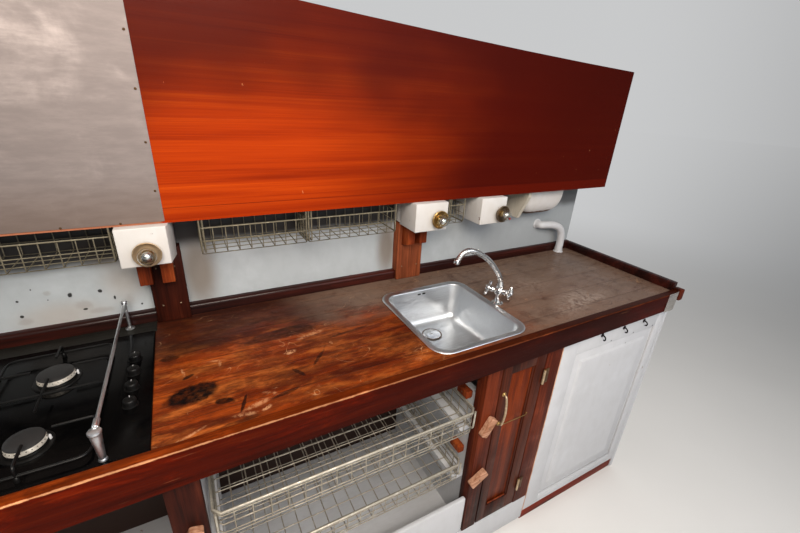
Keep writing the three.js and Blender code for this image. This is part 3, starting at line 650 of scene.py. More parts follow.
def prism(points, axis, a, b, r=0.0, steps=2):
    """A flat outline pushed from a to b along an axis; the outline holds the other two numbers."""
    place = (lambda u, v, w: at(w, u, v), lambda u, v, w: at(u, w, v), at)[axis]
    bm = bmesh.new()
    rings = [[bm.verts.new(place(u, v, w)) for u, v in points] for w in (a, b)]
    bm.faces.new(rings[0])
    bm.faces.new(reversed(rings[1]))
    for i in range(len(points)):
        j = (i + 1) % len(points)
        bm.faces.new((rings[0][j], rings[0][i], rings[1][i], rings[1][j]))
    return bevelled(bm, r, steps) if r else bm


def arc(cx, cy, r, start, end, steps=6):
    """Points of an arc, in degrees."""
    turns = [math.radians(start + (end - start) * i / steps) for i in range(steps + 1)]
    return [(cx + r * math.cos(t), cy + r * math.sin(t)) for t in turns]


def rounded(x0, x1, y0, y1, r, steps=6):
    """Points of a rectangle with round corners."""
    corners = ((x1 - r, y1 - r), (x0 + r, y1 - r), (x0 + r, y0 + r), (x1 - r, y0 + r))
    return [p for i, (cx, cy) in enumerate(corners)
            for p in arc(cx, cy, r, 90 * i, 90 * (i + 1), steps)]


def skin(rings, closed=False, capped=True):
    """A skin over rings of equal length, each a list of places in metres."""
    bm = bmesh.new()
    rows = [[bm.verts.new(p) for p in ring] for ring in rings]
    for lower, upper in zip(rows, rows[1:] + rows[:1] if closed else rows[1:]):
        for i in range(len(lower)):
            j = (i + 1) % len(lower)
            bm.faces.new((lower[i], lower[j], upper[j], upper[i]))
    if capped and not closed:
        bm.faces.new(reversed(rows[0]))
        bm.faces.new(rows[-1])
    return bm


def turned(profile, centre, way=(0, 0, 1), sides=32):
    """A turned piece: pairs of radius and height along an axis that starts at centre."""
    turn = Vector((0, 0, 1)).rotation_difference(Vector(way).normalized())
    base = at(*centre)
    rings = []
    for radius, height in profile:
        radius = max(radius, 0.05)
        ring = [Vector((radius * math.cos(TAU * i / sides), radius * math.sin(TAU * i / sides),
                        height)) * MM for i in range(sides)]
        rings.append([base + turn @ p for p in ring])
    return skin(rings)


def tube(points, r, sides=10, closed=False):
    """A round rod along places in millimetres; r is one radius, or one for each point."""
    line = [at(*p) for p in points]
    count = len(line)
    radii = r if isinstance(r, list) else [r] * count
    rings = []
    side = None
    for i, p in enumerate(line):
        before = line[i - 1] if i or closed else p
        after = line[(i + 1) % count] if i < count - 1 or closed else p
        way = (after - before).normalized()
        if side is None:
            side = way.orthogonal().normalized()
        side = (side - way * side.dot(way)).normalized()
        other = way.cross(side)
        rings.append([p + (side * math.cos(TAU * k / sides) + other * math.sin(TAU * k / sides))
                      * radii[i] * MM for k in range(sides)])
    return skin(rings, closed=closed)


def bent(points, r, steps=5, closed=False):
    """Places along a line whose corners are rounded with radius r."""
    places = [Vector(p) for p in points]
    count = len(places)
    result = []
    for i, p in enumerate(places):
        if not closed and i in (0, count - 1):
            result.append(p)
            continue
        a, b = places[i - 1] - p, places[(i + 1) % count] - p
        reach = min(r, a.length / 2.01, b.length / 2.01)
        start, end = p + a.normalized() * reach, p + b.normalized() * reach
        for k in range(steps + 1):
            t = k / steps
            result.append(start * (1 - t) ** 2 + p * 2 * t * (1 - t) + end * t ** 2)
    return [tuple(p) for p in result]


def flowing(points, steps=6):
    """Places on a smooth curve through the points."""
    places = [Vector(p) for p in points]
    places = [2 * places[0] - places[1], *places, 2 * places[-1] - places[-2]]
    result = []
    for a, b, c, d in zip(places, places[1:], places[2:], places[3:]):
        for k in range(steps):
            t = k / steps
            result.append(0.5 * (2 * b + (c - a) * t + (2 * a - 5 * b + 4 * c - d) * t ** 2
                                 + (3 * b - a - 3 * c + d) * t ** 3))
    return [tuple(p) for p in [*result, places[-2]]]


def join_parts(mesh, parts, smooth):
    """Adds (shape, material) pairs to a mesh and shades it, sharp above an angle in degrees."""
    whole = bmesh.new()
    whole.from_mesh(mesh)
    scratch = bpy.data.meshes.new("scratch")
    for shape, material in parts:
        if material.name not in mesh.materials:
            mesh.materials.append(material)
        bmesh.ops.recalc_face_normals(shape, faces=shape.faces)
        for face in shape.faces:
            face.material_index = mesh.materials.find(material.name)
        shape.to_mesh(scratch)
        whole.from_mesh(scratch)
        shape.free()
    bpy.data.meshes.remove(scratch)
    whole.to_mesh(mesh)
    whole.free()
    mesh.shade_smooth()
    mesh.set_sharp_from_angle(angle=math.radians(smooth))


def placed(mesh, body, replaces):
    """An object of this mesh on its body, in place of the CAD nodes in replaces."""
    piece = bpy.data.objects.new(mesh.name, mesh)
    bpy.context.scene.collection.objects.link(piece)
    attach(piece, body)
    if replaces:
        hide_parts(*replaces)


def extra_piece(name, parts):
    """A piece that takes no node's place."""
    mesh = bpy.data.meshes.new(name)
    join_parts(mesh, parts, 35)
    placed(mesh, "unit", [])


def dressed(node, suffix, parts, body="unit", smooth=35):
    """A piece in place of a CAD node."""
    mesh = bpy.data.meshes.new(f"{node}_{suffix}")
    join_parts(mesh, parts, smooth)
    placed(mesh, body, [node])


def of(material, *shapes):
    """(shape, material) pairs with one material."""
    return [(shape, material) for shape in shapes]


def ring_around(cx, cy, r, count):
    """Angle and place of points evenly round a circle."""
    for i in range(count):
        t = TAU * i / count
        yield t, cx + r * math.cos(t), cy + r * math.sin(t)


def screw(x, y, z, way=AHEAD, r=3.5):
    """A countersunk screw head with a dark slot ring."""
    return turned([(0, 0), (r, 0), (r, 0.5), (r * 0.75, 1.1), (r * 0.3, 1.3), (r * 0.28, 0.7),
                   (0, 0.6)], (x, y, z), way, 16)


# Joinery above the worktop

def make_front_board():
    """A capping with a rounded nose over a lower board that stands 3 mm back and narrows to the
    right. The right end is rounded, under a steel guard, with a block in the corner behind."""
    deep, low = box_mm("front_board")[3:5]
    high, turn, thick, rise, guard_left = 9, RIGHT - 54, 1.5, 29, 1882
    cap = [*arc(5, high - 5, 5, 180, 90), (deep - 3, high), *arc(deep - 3, high - 3, 3, 90, 0, 3),
           (deep, -33), (2, -33), (0, -31)]
    board = [[at(x, *p) for p in ((3, -34), (deep, -34), (deep, edge), (5, edge), (3, edge + 2))]
             for x, edge in ((LEFT, low), (turn, low + rise))]
    swing = [math.radians(a) for a in range(0, 91, 10)]
    bow = [(turn + 50 * math.sin(t), 1.5 + (deep - 2) * (1 - math.cos(t))) for t in swing]
    outer = [(x + thick * math.sin(t), y - 3) for t, (x, y) in zip(swing, bow)]
    guard = [(guard_left, -1.5), *outer, *reversed(bow), (guard_left, thick)]
    corner = [(turn - 1, 1.5), *bow, (turn - 1, deep)]
    parts = of(FRONT_WOOD, prism(cap, X, LEFT, turn), skin(board),
               prism(corner, Z, low + rise, high, 0.8))
    parts += of(GUARD_STEEL, prism(guard, Z, low + rise, high + 0.6, 0.4, 1))
    parts += of(POST_WOOD, box(RIGHT - 26, RIGHT, -6, deep - 2, -31, high + 11, 4, 3))
    dressed("front_board", "moulded", parts)


def make_fillet():
    """A rounded moulding along the wall and the right end."""
    _, _, front, back, low, high = box_mm("fillet")
    edge = BACK - 25
    lengths = ((edge, back, X, LEFT, RIGHT), (RIGHT - 25, RIGHT, Y, front, edge))
    shapes = [prism([(a, low), *arc(a + 12, high - 12, 12, 180, 90), (b, high), (b, low)], *way)
              for a, b, *way in lengths]
    dressed("fillet", "moulded", of(FILLET_WOOD, *shapes))


def make_upper_posts():
    """Each post with a thin foot behind the fillet, two wedges and four screws."""
    wide = 34
    # The left upper post takes the shaded copy of the post wood, as painted shade.
    for node, places, long, wood in (("upper_post_left", (-14, 45), 96, SHADED_POST_WOOD),
                                     ("upper_post_mid", (900, 957), 82, SHORT_POST_WOOD)):
        x0, x1, front, back, low, high = box_mm(node)
        if node == "upper_post_left":
            x0 = 6
        post = back - 40
        side = [(front, high), (post + 1, high), (post + 1, high - long - 14), (front, high - long)]
        heads = [(x, z) for z in (190, 60) for x in (x0 + 24, x1 - 24)]
        parts = of(wood, box(x0, x1, post, back - 26, low, high, 3, 3),
                   box(x0, x1, back - 27, back, 39, high, 1))
        parts += of(WEDGE_WOOD, *(prism(side, X, x, x + wide, 2) for x in places))
        parts += of(BRONZE, *(screw(x, post, z, r=2.8) for x, z in heads))
        dressed(node, "dressed", parts)


def edge_height(x):
    """Top of the upper panel at x, from the CAD node's own corners."""
    base = at(0, 0, 0)
    points = sorted({(round((v.co.x - base.x) / MM, 1), round((v.co.z - base.z) / MM, 1))
                     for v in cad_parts["upper_panel"].data.vertices
                     if v.co.z > at(0, 0, PANEL_LOW + 50).z})
    for (xa, za), (xb, zb) in zip(points, points[1:]):
        if xa <= x <= xb:
            return za + (zb - za) * (x - xa) / (xb - xa)
    return points[-1][1]


def make_steel_sheet():
    """The sheet over the panel's left end, short of its lower edge, with screws round it."""
    x0, x1, front, back, low, _ = box_mm("steel_sheet")
    low += 6
    steps, pitch = 10, 124
    across = [x0 + (x1 - x0) * i / steps for i in range(steps + 1)]
    outline = [(x, edge_height(x) - 1) for x in reversed(across)]
    heads = [head for i in range(5) for head in ((x1 - 101 - i * pitch, low + 2.5),
                                                 (x1 - 9, low + 84 + i * pitch))]
    parts = of(SHEET_STEEL, prism([(x0, low), (x1, low), *outline], Y, front, back))
    parts += of(DARK_BRASS, *(screw(x, front, z, r=3) for x, z in heads))
    dressed("steel_sheet", "screwed", parts)


def make_hob_splash():
    """Thin sheet on the worktop between the hob and the wall."""
    edge = box_mm("hob_glass")[3]
    sheet = box(LEFT + 1, 3, edge + 1, BACK - 26, 0.2, 1.4, 0.4, 1)
    extra_piece("hob_splash", of(DULL_SHEET, sheet))


def make_lamp_boxes():
    """Each box in two parts, with a seam between them and a wooden strip on the first one."""
    for node, seam in (("lamp_box_1", 524), ("lamp_box_2", 576), ("lamp_box_3", 560)):
        x0, x1, front, back, low, high = box_mm(node)
        first = node == "lamp_box_1"
        plan = [(x0, front), (x1 - (14 if first else 0), front), (x1, seam), (x0, seam)]
        parts = of(CREAM_PAINT, prism(plan, Z, low, high, 2.5, 3),
                   box(x0 + 1.5, x1 - 1.5, seam + 1, back, low + 6, high, 2, 2),
                   box(x0 + 3, x1 - 3, seam - 1, seam + 3, low + 8, high - 2, 1))
        if first:
            strip = [(x1 - 11.5, front + 26), (x1 - 9.5, front + 26), (x1 - 7.5, front + 50),
                     (x1 - 9.5, front + 50)]
            parts += of(WEDGE_WOOD, prism(strip, Z, low + 42, high - 3, 0.8))
        dressed(node, "painted", parts)


def make_lamps():
    """A flared metal bowl with a holder in it, and a clear bulb with a silvered core."""
    bowl = [(0, 0), (25, 0), (25, 2), (27, 5), (31.5, 9), (34.4, 12), (35, 14), (34.6, 16),
            (33.2, 17), (31.8, 15.8), (28, 11), (24, 7.5), (20, 6), (0, 6)]
    holder = [(0, 5), (14, 5), (14, 10), (12, 13), (0, 13)]
    dome = [math.radians(a) for a in range(-40, 90, 10)]
    glass = [(12, 9), (15.5, 14), *[(23 * math.cos(t), 30 + 22 * math.sin(t)) for t in dome],
             (0.3, 52)]
    inner = [(r * 0.95, 9 + (h - 9) * 0.97) for r, h in reversed(glass)]
    ball = [math.radians(a) for a in range(-50, 91, 14)]
    core = [(0, 11), (7, 12), (8, 18), *[(14.5 * math.cos(t), 31 + 14 * math.sin(t)) for t in ball]]
    cap = [(0, 0), (4.5, 0), (5, 3), (4, 6), (0, 7)]
    for i, metal in ((1, PALE_BRASS), (2, BRASS), (3, BRONZE)):
        x0, x1, _, back, low, high = box_mm(f"lamp_{i}")
        x, z = (x0 + x1) / 2, (low + high) / 2
        parts = [(turned(profile, (x, back, z), AHEAD, sides), material)
                 for profile, sides, material in ((bowl, 40, metal), (glass + inner, 32, CLEAR),
                                                  (holder, 24, BRASS), (core, 28, SILVERED))]
        if i == 2:
            ribs = [[(u, back - h, v) for h in (11, 16.5)] for _, u, v in ring_around(x, z, 33, 36)]
            parts += of(metal, *(tube(rib, 1.9, 6) for rib in ribs))
        if i == 3:
            parts += of(RED, turned(cap, (x + 15, back - 36, z - 14), AHEAD, 16))
        dressed(f"lamp_{i}", "lit", parts)


def make_vent_housing():
    """A white bowl-like housing with a rounded front and a lip under the soffit."""
    x0, x1, front, back, low, high = box_mm("vent_housing")
    rings, steps = [], 14
    for i in range(steps + 1):
        share = math.sin(math.pi / 2 * i / steps)
        inset = 62 * (1 - (1 - share ** 3.2) ** 0.5)
        plan = rounded(x0 + inset, x1 - inset, front + inset * 0.8, back, 30 + inset * 0.4, 8)
        rings.append([at(x, y, high + (low - high) * share) for x, y in plan])
    lip = box(x0, x1, front, back, high - 7, high, 2.5, 3)
    dressed("vent_housing", "moulded", of(CREAM_PAINT, skin(rings), lip), smooth=50)


def make_wall_pipe():
    """A bent pipe from the wall down to the worktop, with a collar at both ends."""
    x0, _, _, back, _, high = box_mm("wall_pipe")
    r = 19
    path = [(x0 + x, back - y, high - 21 - z) for x, y, z in (
        (21, 0, 0), (22, 26, 0), (46, 34, 0), (98, 40, 4), (146, 46, 26), (168, 48, 76))]
    path.append((x0 + 169, back - 48, 0.5))
    collar = [(0, 0), (r + 6, 0), (r + 6, 3), (r + 1.5, 5), (r + 1.5, 14), (0, 14)]
    shapes = (tube(flowing(path), r, 24), turned(collar, path[0], AHEAD), turned(collar, path[-1]))
    dressed("wall_pipe", "smooth", of(WHITE_PAINT, *shapes))


# Wire baskets and racks, made by one Geometry Nodes tree

def basket_tree():
    """U-shaped wires both ways, level wires round the walls, and a thicker rim."""
    tree = bpy.data.node_groups.new("wire_basket", "GeometryNodeTree")
    new_sockets(tree, "INPUT", {
        "Geometry": ["Geometry"], "Int": ["Columns", "Rows", "Levels", "Corner Steps"],
        "Float": ["Width", "Depth", "Height", "Wire", "Rim", "Corner", "Double"],
        "Material": ["Wire Finish", "Rim Finish"]})
    new_sockets(tree, "OUTPUT", {"Geometry": ["Geometry"]})
    given = given_to(tree)
    width, depth, height, thin = (given[label] for label in ("Width", "Depth", "Height", "Wire"))

    def geo(kind, inputs=None, **settings):
        return add(tree, "GeometryNode" + kind, inputs, **settings)

    def vector(x=0.0, y=0.0, z=0.0):
        return add(tree, "ShaderNodeCombineXYZ", {0: x, 1: y, 2: z})

    def wire(curve, radius, sides=8):
        ring = geo("CurvePrimitiveCircle", {"Resolution": sides, "Radius": radius})
        return geo("CurveToMesh", {"Curve": curve, "Profile Curve": ring, "Fill Caps": True})

    def filleted(curve, radius, count):
        return geo("FilletCurve", {"Curve": curve, "Radius": radius, "Count": count,
                                   "Limit Radius": True}, mode="POLY")

    def hoop(*corners):
        """A line through four corners, bent round at the two inner ones."""
        choice = put(tree, "GeometryNodeIndexSwitch", data_type="VECTOR")
        for _ in range(2):
            choice.index_switch_items.new()
        link(geo("InputIndex"), choice.inputs["Index"])
        for i, corner in enumerate(corners):
            link(corner, choice.inputs[str(i)])
        line = geo("SetPosition", {"Geometry": geo("MeshLine", {"Count": 4}),
                                   "Position": Value(tree, choice.outputs[0])})
        return filleted(geo("MeshToCurve", {"Mesh": line}), thin * 4.0, 4)

    def row(curve, count, start, step):
        """Wires along a curve, repeated count times."""
        stations = geo("MeshLine", {"Count": count, "Start Location": start, "Offset": step})
        return geo("InstanceOnPoints", {"Points": stations, "Instance": wire(curve, thin)})

    def raised(curve, radius, level, sides=8):
        return geo("Transform", {"Geometry": wire(curve, radius, sides),
                                 "Translation": vector(0, 0, level)})

    def joined(*pieces):
        node = put(tree, "GeometryNodeJoinGeometry")
        for piece in pieces:
            link(piece, node.inputs[0])
        return Value(tree, node.outputs[0])

    half_w, half_d = width / 2.0, depth / 2.0
    minus_w, minus_d = half_w * -1.0, half_d * -1.0
    step = width / given["Columns"]
    across = hoop(vector(0, minus_d, height), vector(0, minus_d), vector(0, half_d),
                  vector(0, half_d, height))
    ribs = row(across, given["Columns"] - 1.0, vector(minus_w + step), vector(step))
    step = depth / given["Rows"]
    along = hoop(vector(minus_w, 0, height), vector(minus_w, 0, thin), vector(half_w, 0, thin),
                 vector(half_w, 0, height))
    lines = row(along, given["Rows"] - 1.0, vector(0, minus_d + step), vector(0, step))
    loop = geo("CurvePrimitiveQuadrilateral", {"Width": width, "Height": depth})
    loop = filleted(loop, given["Corner"], given["Corner Steps"])
    bands = row(loop, given["Levels"], vector(), vector(0, 0, height / given["Levels"]))
    doubles = [raised(loop, thin, z) for z in (height - given["Double"], given["Double"])]
    fine = geo("SetMaterial", {"Geometry": joined(ribs, lines, bands, *doubles),
                               "Material": given["Wire Finish"]})
    rim = geo("SetMaterial", {"Geometry": raised(loop, given["Rim"], height, 10),
                              "Material": given["Rim Finish"]})
    real = geo("RealizeInstances", {"Geometry": joined(fine, rim)})
    link(real, tree.nodes.new("NodeGroupOutput").inputs[0])
    return tree


BASKET_TREE = basket_tree()


def wirework(node, body, high, rim, thin, pitch, finishes, rods, **sizes):
    """The tree's mesh in place of a CAD node, with rods joined to it."""
    name = node + "_wires"
    x0, x1, y0, y1, low, _ = box_mm(node)
    width, depth = x1 - x0 - 2 * rim, y1 - y0 - 2 * rim
    sizes = {"Width": width * MM, "Depth": depth * MM, "Height": (high - low - rim - thin) * MM,
             "Wire": thin * MM, "Rim": rim * MM, "Columns": round(width / pitch),
             "Rows": round(depth / pitch), "Levels": 2, "Wire Finish": finishes[0],
             "Rim Finish": finishes[1],
             **{label.replace("_", " "): size for label, size in sizes.items()}}
    holder = bpy.data.objects.new(name + "_source", bpy.data.meshes.new(name + "_source"))
    bpy.context.scene.collection.objects.link(holder)
    modifier = holder.modifiers.new("basket", "NODES")
    modifier.node_group = BASKET_TREE
    for item in BASKET_TREE.interface.items_tree:
        if item.in_out == "INPUT" and item.name in sizes:
            modifier[item.identifier] = sizes[item.name]
    bpy.context.view_layer.update()
    shown = holder.evaluated_get(bpy.context.evaluated_depsgraph_get())
    mesh = bpy.data.meshes.new_from_object(shown)
    holder.modifiers.remove(modifier)
    bpy.data.objects.remove(holder)
    mesh.transform(Matrix.Translation(at((x0 + x1) / 2, (y0 + y1) / 2, low + thin)))
    mesh.name = name
    join_parts(mesh, of(finishes[1], *rods), 50)
    placed(mesh, body, [node])


def make_baskets():
    """Two sliding baskets, each with a bent rod at both ends."""
    rim = 4.5
    for node in ("basket_upper", "basket_lower"):
        x0, x1, y0, y1, low, high = box_mm(node)
        corners = ((y0 + 5, high - 4), (y0 + 5, low + 6), (y1 - 6, low + 6), (y1 - 6, high - 4))
        rods = [tube(bent([(x, y, z) for y, z in corners], 22), 3.6) for x in (x0 + 8, x1 - 8)]
        wirework(node, node, high, rim, 1.9, 47, (WIRE, RIM_WIRE), rods, Double=2.6 * rim * MM,
                 Corner=0.018, Corner_Steps=1)


def make_racks():
    """Racks hung from the soffit by three bent rods each."""
    for node in ("rack_left", "rack_mid_left", "rack_mid_right", "rack_small"):
        x0, x1, y0, y1, low, top = box_mm(node)
        corners = ((y0 + 3, top), (y0 + 3, low + 4), (y1 - 4, low + 4), (y1 - 4, top))
        rods = [tube(bent([(x, y, z) for y, z in corners], 10), 2.4)
                for x in (x0 + 3, x0 + 12, x1 - 3)]
        wirework(node, "unit", top - 22, 2.2, 1.5, 36, (RACK_WIRE, RACK_WIRE), rods, Corner=0.008,
                 Corner_Steps=4)


# Sink and tap

def make_sink():
    """A pressed bowl with a rolled rim, big corners, an overflow and a strainer."""
    x0, x1, y0, y1, low, _ = box_mm("sink")
    corner, rim, floor = 62, 24, low + 3
    table = [(3, 0.4, 0), (0, 2.2, 0), (1.5, 4.2, 0), (5, 5, 0), (10, 3.8, 0), (rim - 5, 3.0, 0),
             (rim - 1.5, 1.8, 0), (rim, -2, 0), (rim + 3, floor + 60, 0), (rim + 7, floor + 30, 2),
             (rim + 14, floor + 12, 4), (rim + 26, floor + 3, 8), (rim + 42, floor + 0.6, 10)]
    rings = []
    for inset, z, grow in table:
        r = max(corner - inset * 0.75 + grow, 14)
        plan = rounded(x0 + inset, x1 - inset, y0 + inset, y1 - inset, r, 10)
        rings.append([at(x, y, z) for x, y in plan])
    cx, cy = (x0 + x1) / 2, (y0 + y1) / 2 + 100
    middle = at(cx, cy, 0)
    last = rings[-1]
    for radius, z in ((60, floor), (40, floor - 0.8), (36, floor - 2), (30, floor - 2.5)):
        ring = []
        for p in last:
            away = Vector((p.x - middle.x, p.y - middle.y)).normalized() * radius * MM
            ring.append(Vector((middle.x + away.x, middle.y + away.y, at(0, 0, z).z)))
        rings.append(ring)
    cup = turned([(0, 0), (30, 0), (35, 2.6), (38.5, 3.4), (40, 3.0), (40, 2), (35, 1.2),
                  (0, -0.8)], (cx, cy, floor - 0.2), sides=40)
    knob = turned([(0, 0), (6, 0), (6, 3), (3, 4.5), (0, 5)], (cx, cy, floor + 0.3), sides=16)
    holes = [turned([(0, 0), (1.7, 0), (1.7, 0.6), (0, 0.6)], (x, y, floor), sides=8)
             for reach in (12, 18, 24) for _, x, y in ring_around(cx, cy, reach, 12)]
    slots = [prism(rounded(x - 7.5, x + 7.5, -19, -12.5, 3.1, 5), Y, y1 - rim - 1.4, y1 - rim + 2)
             for x in (922, 944)]
    parts = of(STEEL, skin(rings, capped=False)) + of(STRAINER, cup) + of(STEEL, knob)
    # The strainer's holes and the overflow slots are black shapes: painted shade of the openings.
    dressed("sink", "pressed", parts + of(HOLE_SHADE, *holes, *slots), smooth=60)


def make_tap():
    """Body with a stepped base, cross handles on both sides and a high spout."""
    x, y = (sum(box_mm("tap_body")[i:i + 2]) / 2 for i in (0, 2))
    base = [(0, 0.4), (23, 0.4), (23, 3), (20, 6), (15, 9), (13, 14), (13, 32), (16, 38), (18, 46),
            (18, 56), (15, 62), (12.5, 66), (0, 66)]
    cross = [(0, 0), (12, 0), (13, 4), (10, 8), (10, 22), (12, 25), (12, 30), (9, 34), (0, 34)]
    way = Vector((0.452, -0.892, 0)).normalized()
    middle = Vector((x, y, 52))
    body = [turned(base, (x, y, 0)), *(turned(cross, middle, way * side) for side in (1, -1))]
    dressed("tap_body", "turned", of(CHROME, *body))

    hub = [(0, 0), (12, 0), (14, 4), (14, 13), (10, 18), (0, 19)]
    long_arm = [(5.4, 4), (5.2, 12), (6.2, 24), (6.6, 29), (5.2, 32), (0, 33)]
    pointed_arm = [(10, 2), (9.5, 12), (7, 21), (4, 29), (1.5, 32), (0, 32)]
    flat, up = Vector((-way.y, way.x, 0)), Vector((0, 0, 1))
    slanted = (flat * 0.86 + up * 0.5).normalized()
    for i, side, arm, ways in ((1, 1, pointed_arm, (flat, -flat, up, -up)),
                               (2, -1, long_arm, (slanted, -slanted))):
        start = middle + way * side * 35.5
        centre = start + way * side * 9
        arms = [turned(arm, centre, arm_way, 16) for arm_way in ways]
        dressed(f"tap_handle_{i}", "lobed", of(CHROME, turned(hub, start, way * side), *arms))

    out = Vector((-197, 29, 0)).normalized()
    line = [(0, 80), (0, 96), (14, 122), (50, 168), (95, 206), (145, 229), (178, 223), (197, 198),
            (200, 187)]
    path = flowing([(x + out.x * r, y + out.y * r, z) for r, z in line])
    collar = [(0, 66.4), (14, 66.4), (15, 70), (15, 78), (12, 84), (10.4, 92), (0, 92)]
    nozzle = [(0, 0), (11, 0), (11, 13), (9.8, 15), (0, 15)]
    tip = path[-1]
    spout = (tube(path, 10, 18), turned(collar, (x, y, 0)), turned(nozzle, (*tip[:2], tip[2] - 2)))
    dressed("tap_spout", "arched", of(CHROME, *spout), "spout")


# Hob

def make_hob():
    """Glass with a bevelled edge, and four burners with a toothed crown, a cap and a spark pin."""
    x0, x1, y0, y1, low, high = box_mm("hob_glass")
    rings = ((0, low), (0, high - 1.8), (0.7, high - 0.6), (2.2, high))
    plate = [[at(*p, z) for p in rounded(x0 + inset, x1 - inset, y0 + inset, y1 - inset, 7, 5)]
             for inset, z in rings]
    dressed("hob_glass", "bevelled", of(BLACK_GLASS, skin(plate)))
    tooth = [(0, 0), (0.9, 0), (0.9, 1.2), (0, 1.2)]
    spark = [(0, 3), (2.6, 3), (2.6, 12), (1, 15), (0, 15)]
    for i in range(1, 5):
        x0, x1, y0, y1, base, _ = box_mm(f"burner_{i}")
        x, y, r = (x0 + x1) / 2, (y0 + y1) / 2, (x1 - x0) / 2 - 14
        dish = [(0, 0), (r + 13, 0), (r + 12, 2), (r + 5, 3), (r + 1, 2), (r, 4), (0, 4)]
        crown = [(0, 4), (r - 4, 4), (r - 4, 8), (r + 2.5, 9), (r + 2.5, 11), (r + 0.6, 18.6),
                 (0, 18.6)]
        cap = [(0, 18.7), (r + 0.2, 18.7), (r + 1, 19.8), (r + 0.2, 21.6), (r - 3, 23.4),
               (r * 0.6, 24.6), (0, 25.2)]
        parts = [(turned(profile, (x, y, base), sides=48), material) for profile, material in
                 ((dish, ENAMEL), (crown, CROWN_METAL), (cap, CAP_ENAMEL))]
        # Black stubs round the crown stand in for its flame ports: painted shade.
        parts += of(HOLE_SHADE, *(turned(tooth, (u, v, base + 15), (math.cos(t), math.sin(t), 0.25), 6)
                             for t, u, v in ring_around(x, y, r + 1.4, 24)))
        parts += of(WHITE_PAINT, turned(spark, (x + r + 5.5, y + 4, base), sides=10))
        dressed(f"burner_{i}", "capped", parts)


def make_knobs():
    """Four knobs, each with a grip bar and a pale mark."""
    x0, x1, y0, y1, low, high = box_mm("hob_knobs")
    x = (x0 + x1) / 2
    skirt = [(0, 0), (17, 0), (17, 1.2), (15.4, 2), (14.6, 6), (14.2, 13), (13.4, 16),
             (11.5, 17.6), (0, 18)]
    parts = []
    for i in range(4):
        y = y0 + 24 + (y1 - y0 - 48) * i / 3
        parts += of(ENAMEL, turned(skirt, (x, y, low), sides=40),
                    box(x - 3, x + 3, y - 13, y + 13, low + 15, high - 1, 1.4, 3))
        parts += of(WHITE_PAINT, box(x - 0.7, x + 0.7, y + 6, y + 12.4, high - 1.4, high - 0.5,
                                     0.2, 1))
    dressed("hob_knobs", "turned", parts)


def make_pan_supports():
    """Low frame of round rod with legs, middle bar, and fingers that point at the burners."""
    r, level, mid = 3.2, 21, 273
    foot = [(0, 0), (5, 0), (5.5, 2), (5, 9), (3.4, 12), (0, 15)]
    for i in (1, 2):
        x0, x1, y0, y1, low, high = box_mm(f"pan_support_{i}")
        top = high - r
        a, b, c, d = x0 + r, x1 - r, y0 + r, y1 - r
        middle = (x0 + x1) / 2
        lines = [[(a, mid, level), (a, mid, top), (b, mid, top), (b, mid, level)]]
        for y in (148, 378):
            lines += [[(edge, y, level), (edge, y, top), (edge + reach, y, top)]
                      for edge, reach in ((a, 73), (b, -73))]
        lines += [[(middle, edge, level), (middle, edge, top), (middle, edge + reach, top)]
                  for edge, reach in ((c, 58), (d, -58))]
        lines = [bent(line, 9) for line in lines]
        lines += [[(middle, mid, top), (middle, mid + reach, top)] for reach in (-60, 60)]
        outline = bent([(a, c, level), (b, c, level), (b, d, level), (a, d, level)], 26,
                       closed=True)
        feet = [turned(foot, (x, y, low), sides=14)
                for x, y in ((a, mid), (b, mid), (middle, c), (middle, d))]
        shapes = [tube(outline, r, closed=True), *(tube(line, r) for line in lines), *feet]
        dressed(f"pan_support_{i}", "rods", of(ENAMEL, *shapes))


def make_hob_rails():
    """Tapered front post with a wide disc, a bar with a sleeve, and a thin back post."""
    rear = [(0, 0.3), (13, 0.3), (13, 3), (9, 5), (4.6, 9), (4.6, 60), (5.4, 61), (5.4, 66),
            (4.6, 67), (4.6, 84), (5.8, 86), (8, 90), (8, 96), (6.8, 98), (0, 98.3)]
    collar = [(0, 10), (5.6, 10), (6.2, 12), (6.2, 34), (5.4, 36), (4.4, 37), (0, 37)]
    bar = 88
    for node, front, back, low in (("hob_rail_right", -82, -70, 6.3),
                                   ("hob_rail_left", -622, -622, 0.3)):
        post = [(0, low), (8.5, low), (8.2, low + 3), (6.2, low + 6), (6.6, 20), (8.4, 46),
                (10.4, 70), (11, 76), (12.2, 78), (12.6, 80.5), (11.8, 83), (9, 84.2), (0, 84)]
        sleeve = Vector((front, 46, bar - 6))
        along = (Vector((back, 590, bar)) - sleeve).normalized()
        shapes = (turned(post, (front, 46, 0)), turned(rear, (back, 590, 0)),
                  tube([tuple(sleeve + along * 6), (back, 590, bar)], 3.8, 18),
                  turned(collar, sleeve, along))
        dressed(node, "turned", of(STEEL, *shapes))


# Below the worktop

def make_posts():
    """The middle post steps back under the sink's bowl, at bowl_z."""
    bowl_y, bowl_z = 66, -165
    for node in ("post_left", "post_mid", "post_right"):
        x0, x1, y0, y1, low, high = box_mm(node)
        side = [(y0, low), (y1, low), (y1, high), (y0, high)]
        if node == "post_mid":
            side[2:3] = [(y1, bowl_z), (bowl_y, bowl_z), (bowl_y, high)]
        # The left post takes the shaded copy of the post wood, as painted shade.
        wood = SHADED_POST_WOOD if node == "post_left" else POST_WOOD
        dressed(node, "rounded", of(wood, prism(side, X, x0, x1, 2.5)))
    for node in ("basket_stop_upper", "basket_stop_lower"):
        x0, x1, y0, y1, low, high = box_mm(node)
        head = screw(x0, (y0 + y1) / 2, (low + high) / 2, (-1, 0, 0))
        parts = of(WEDGE_WOOD, box(x0, x1, y0, y1, low, high, 4, 3)) + of(BRONZE, head)
        dressed(node, "rounded", parts)


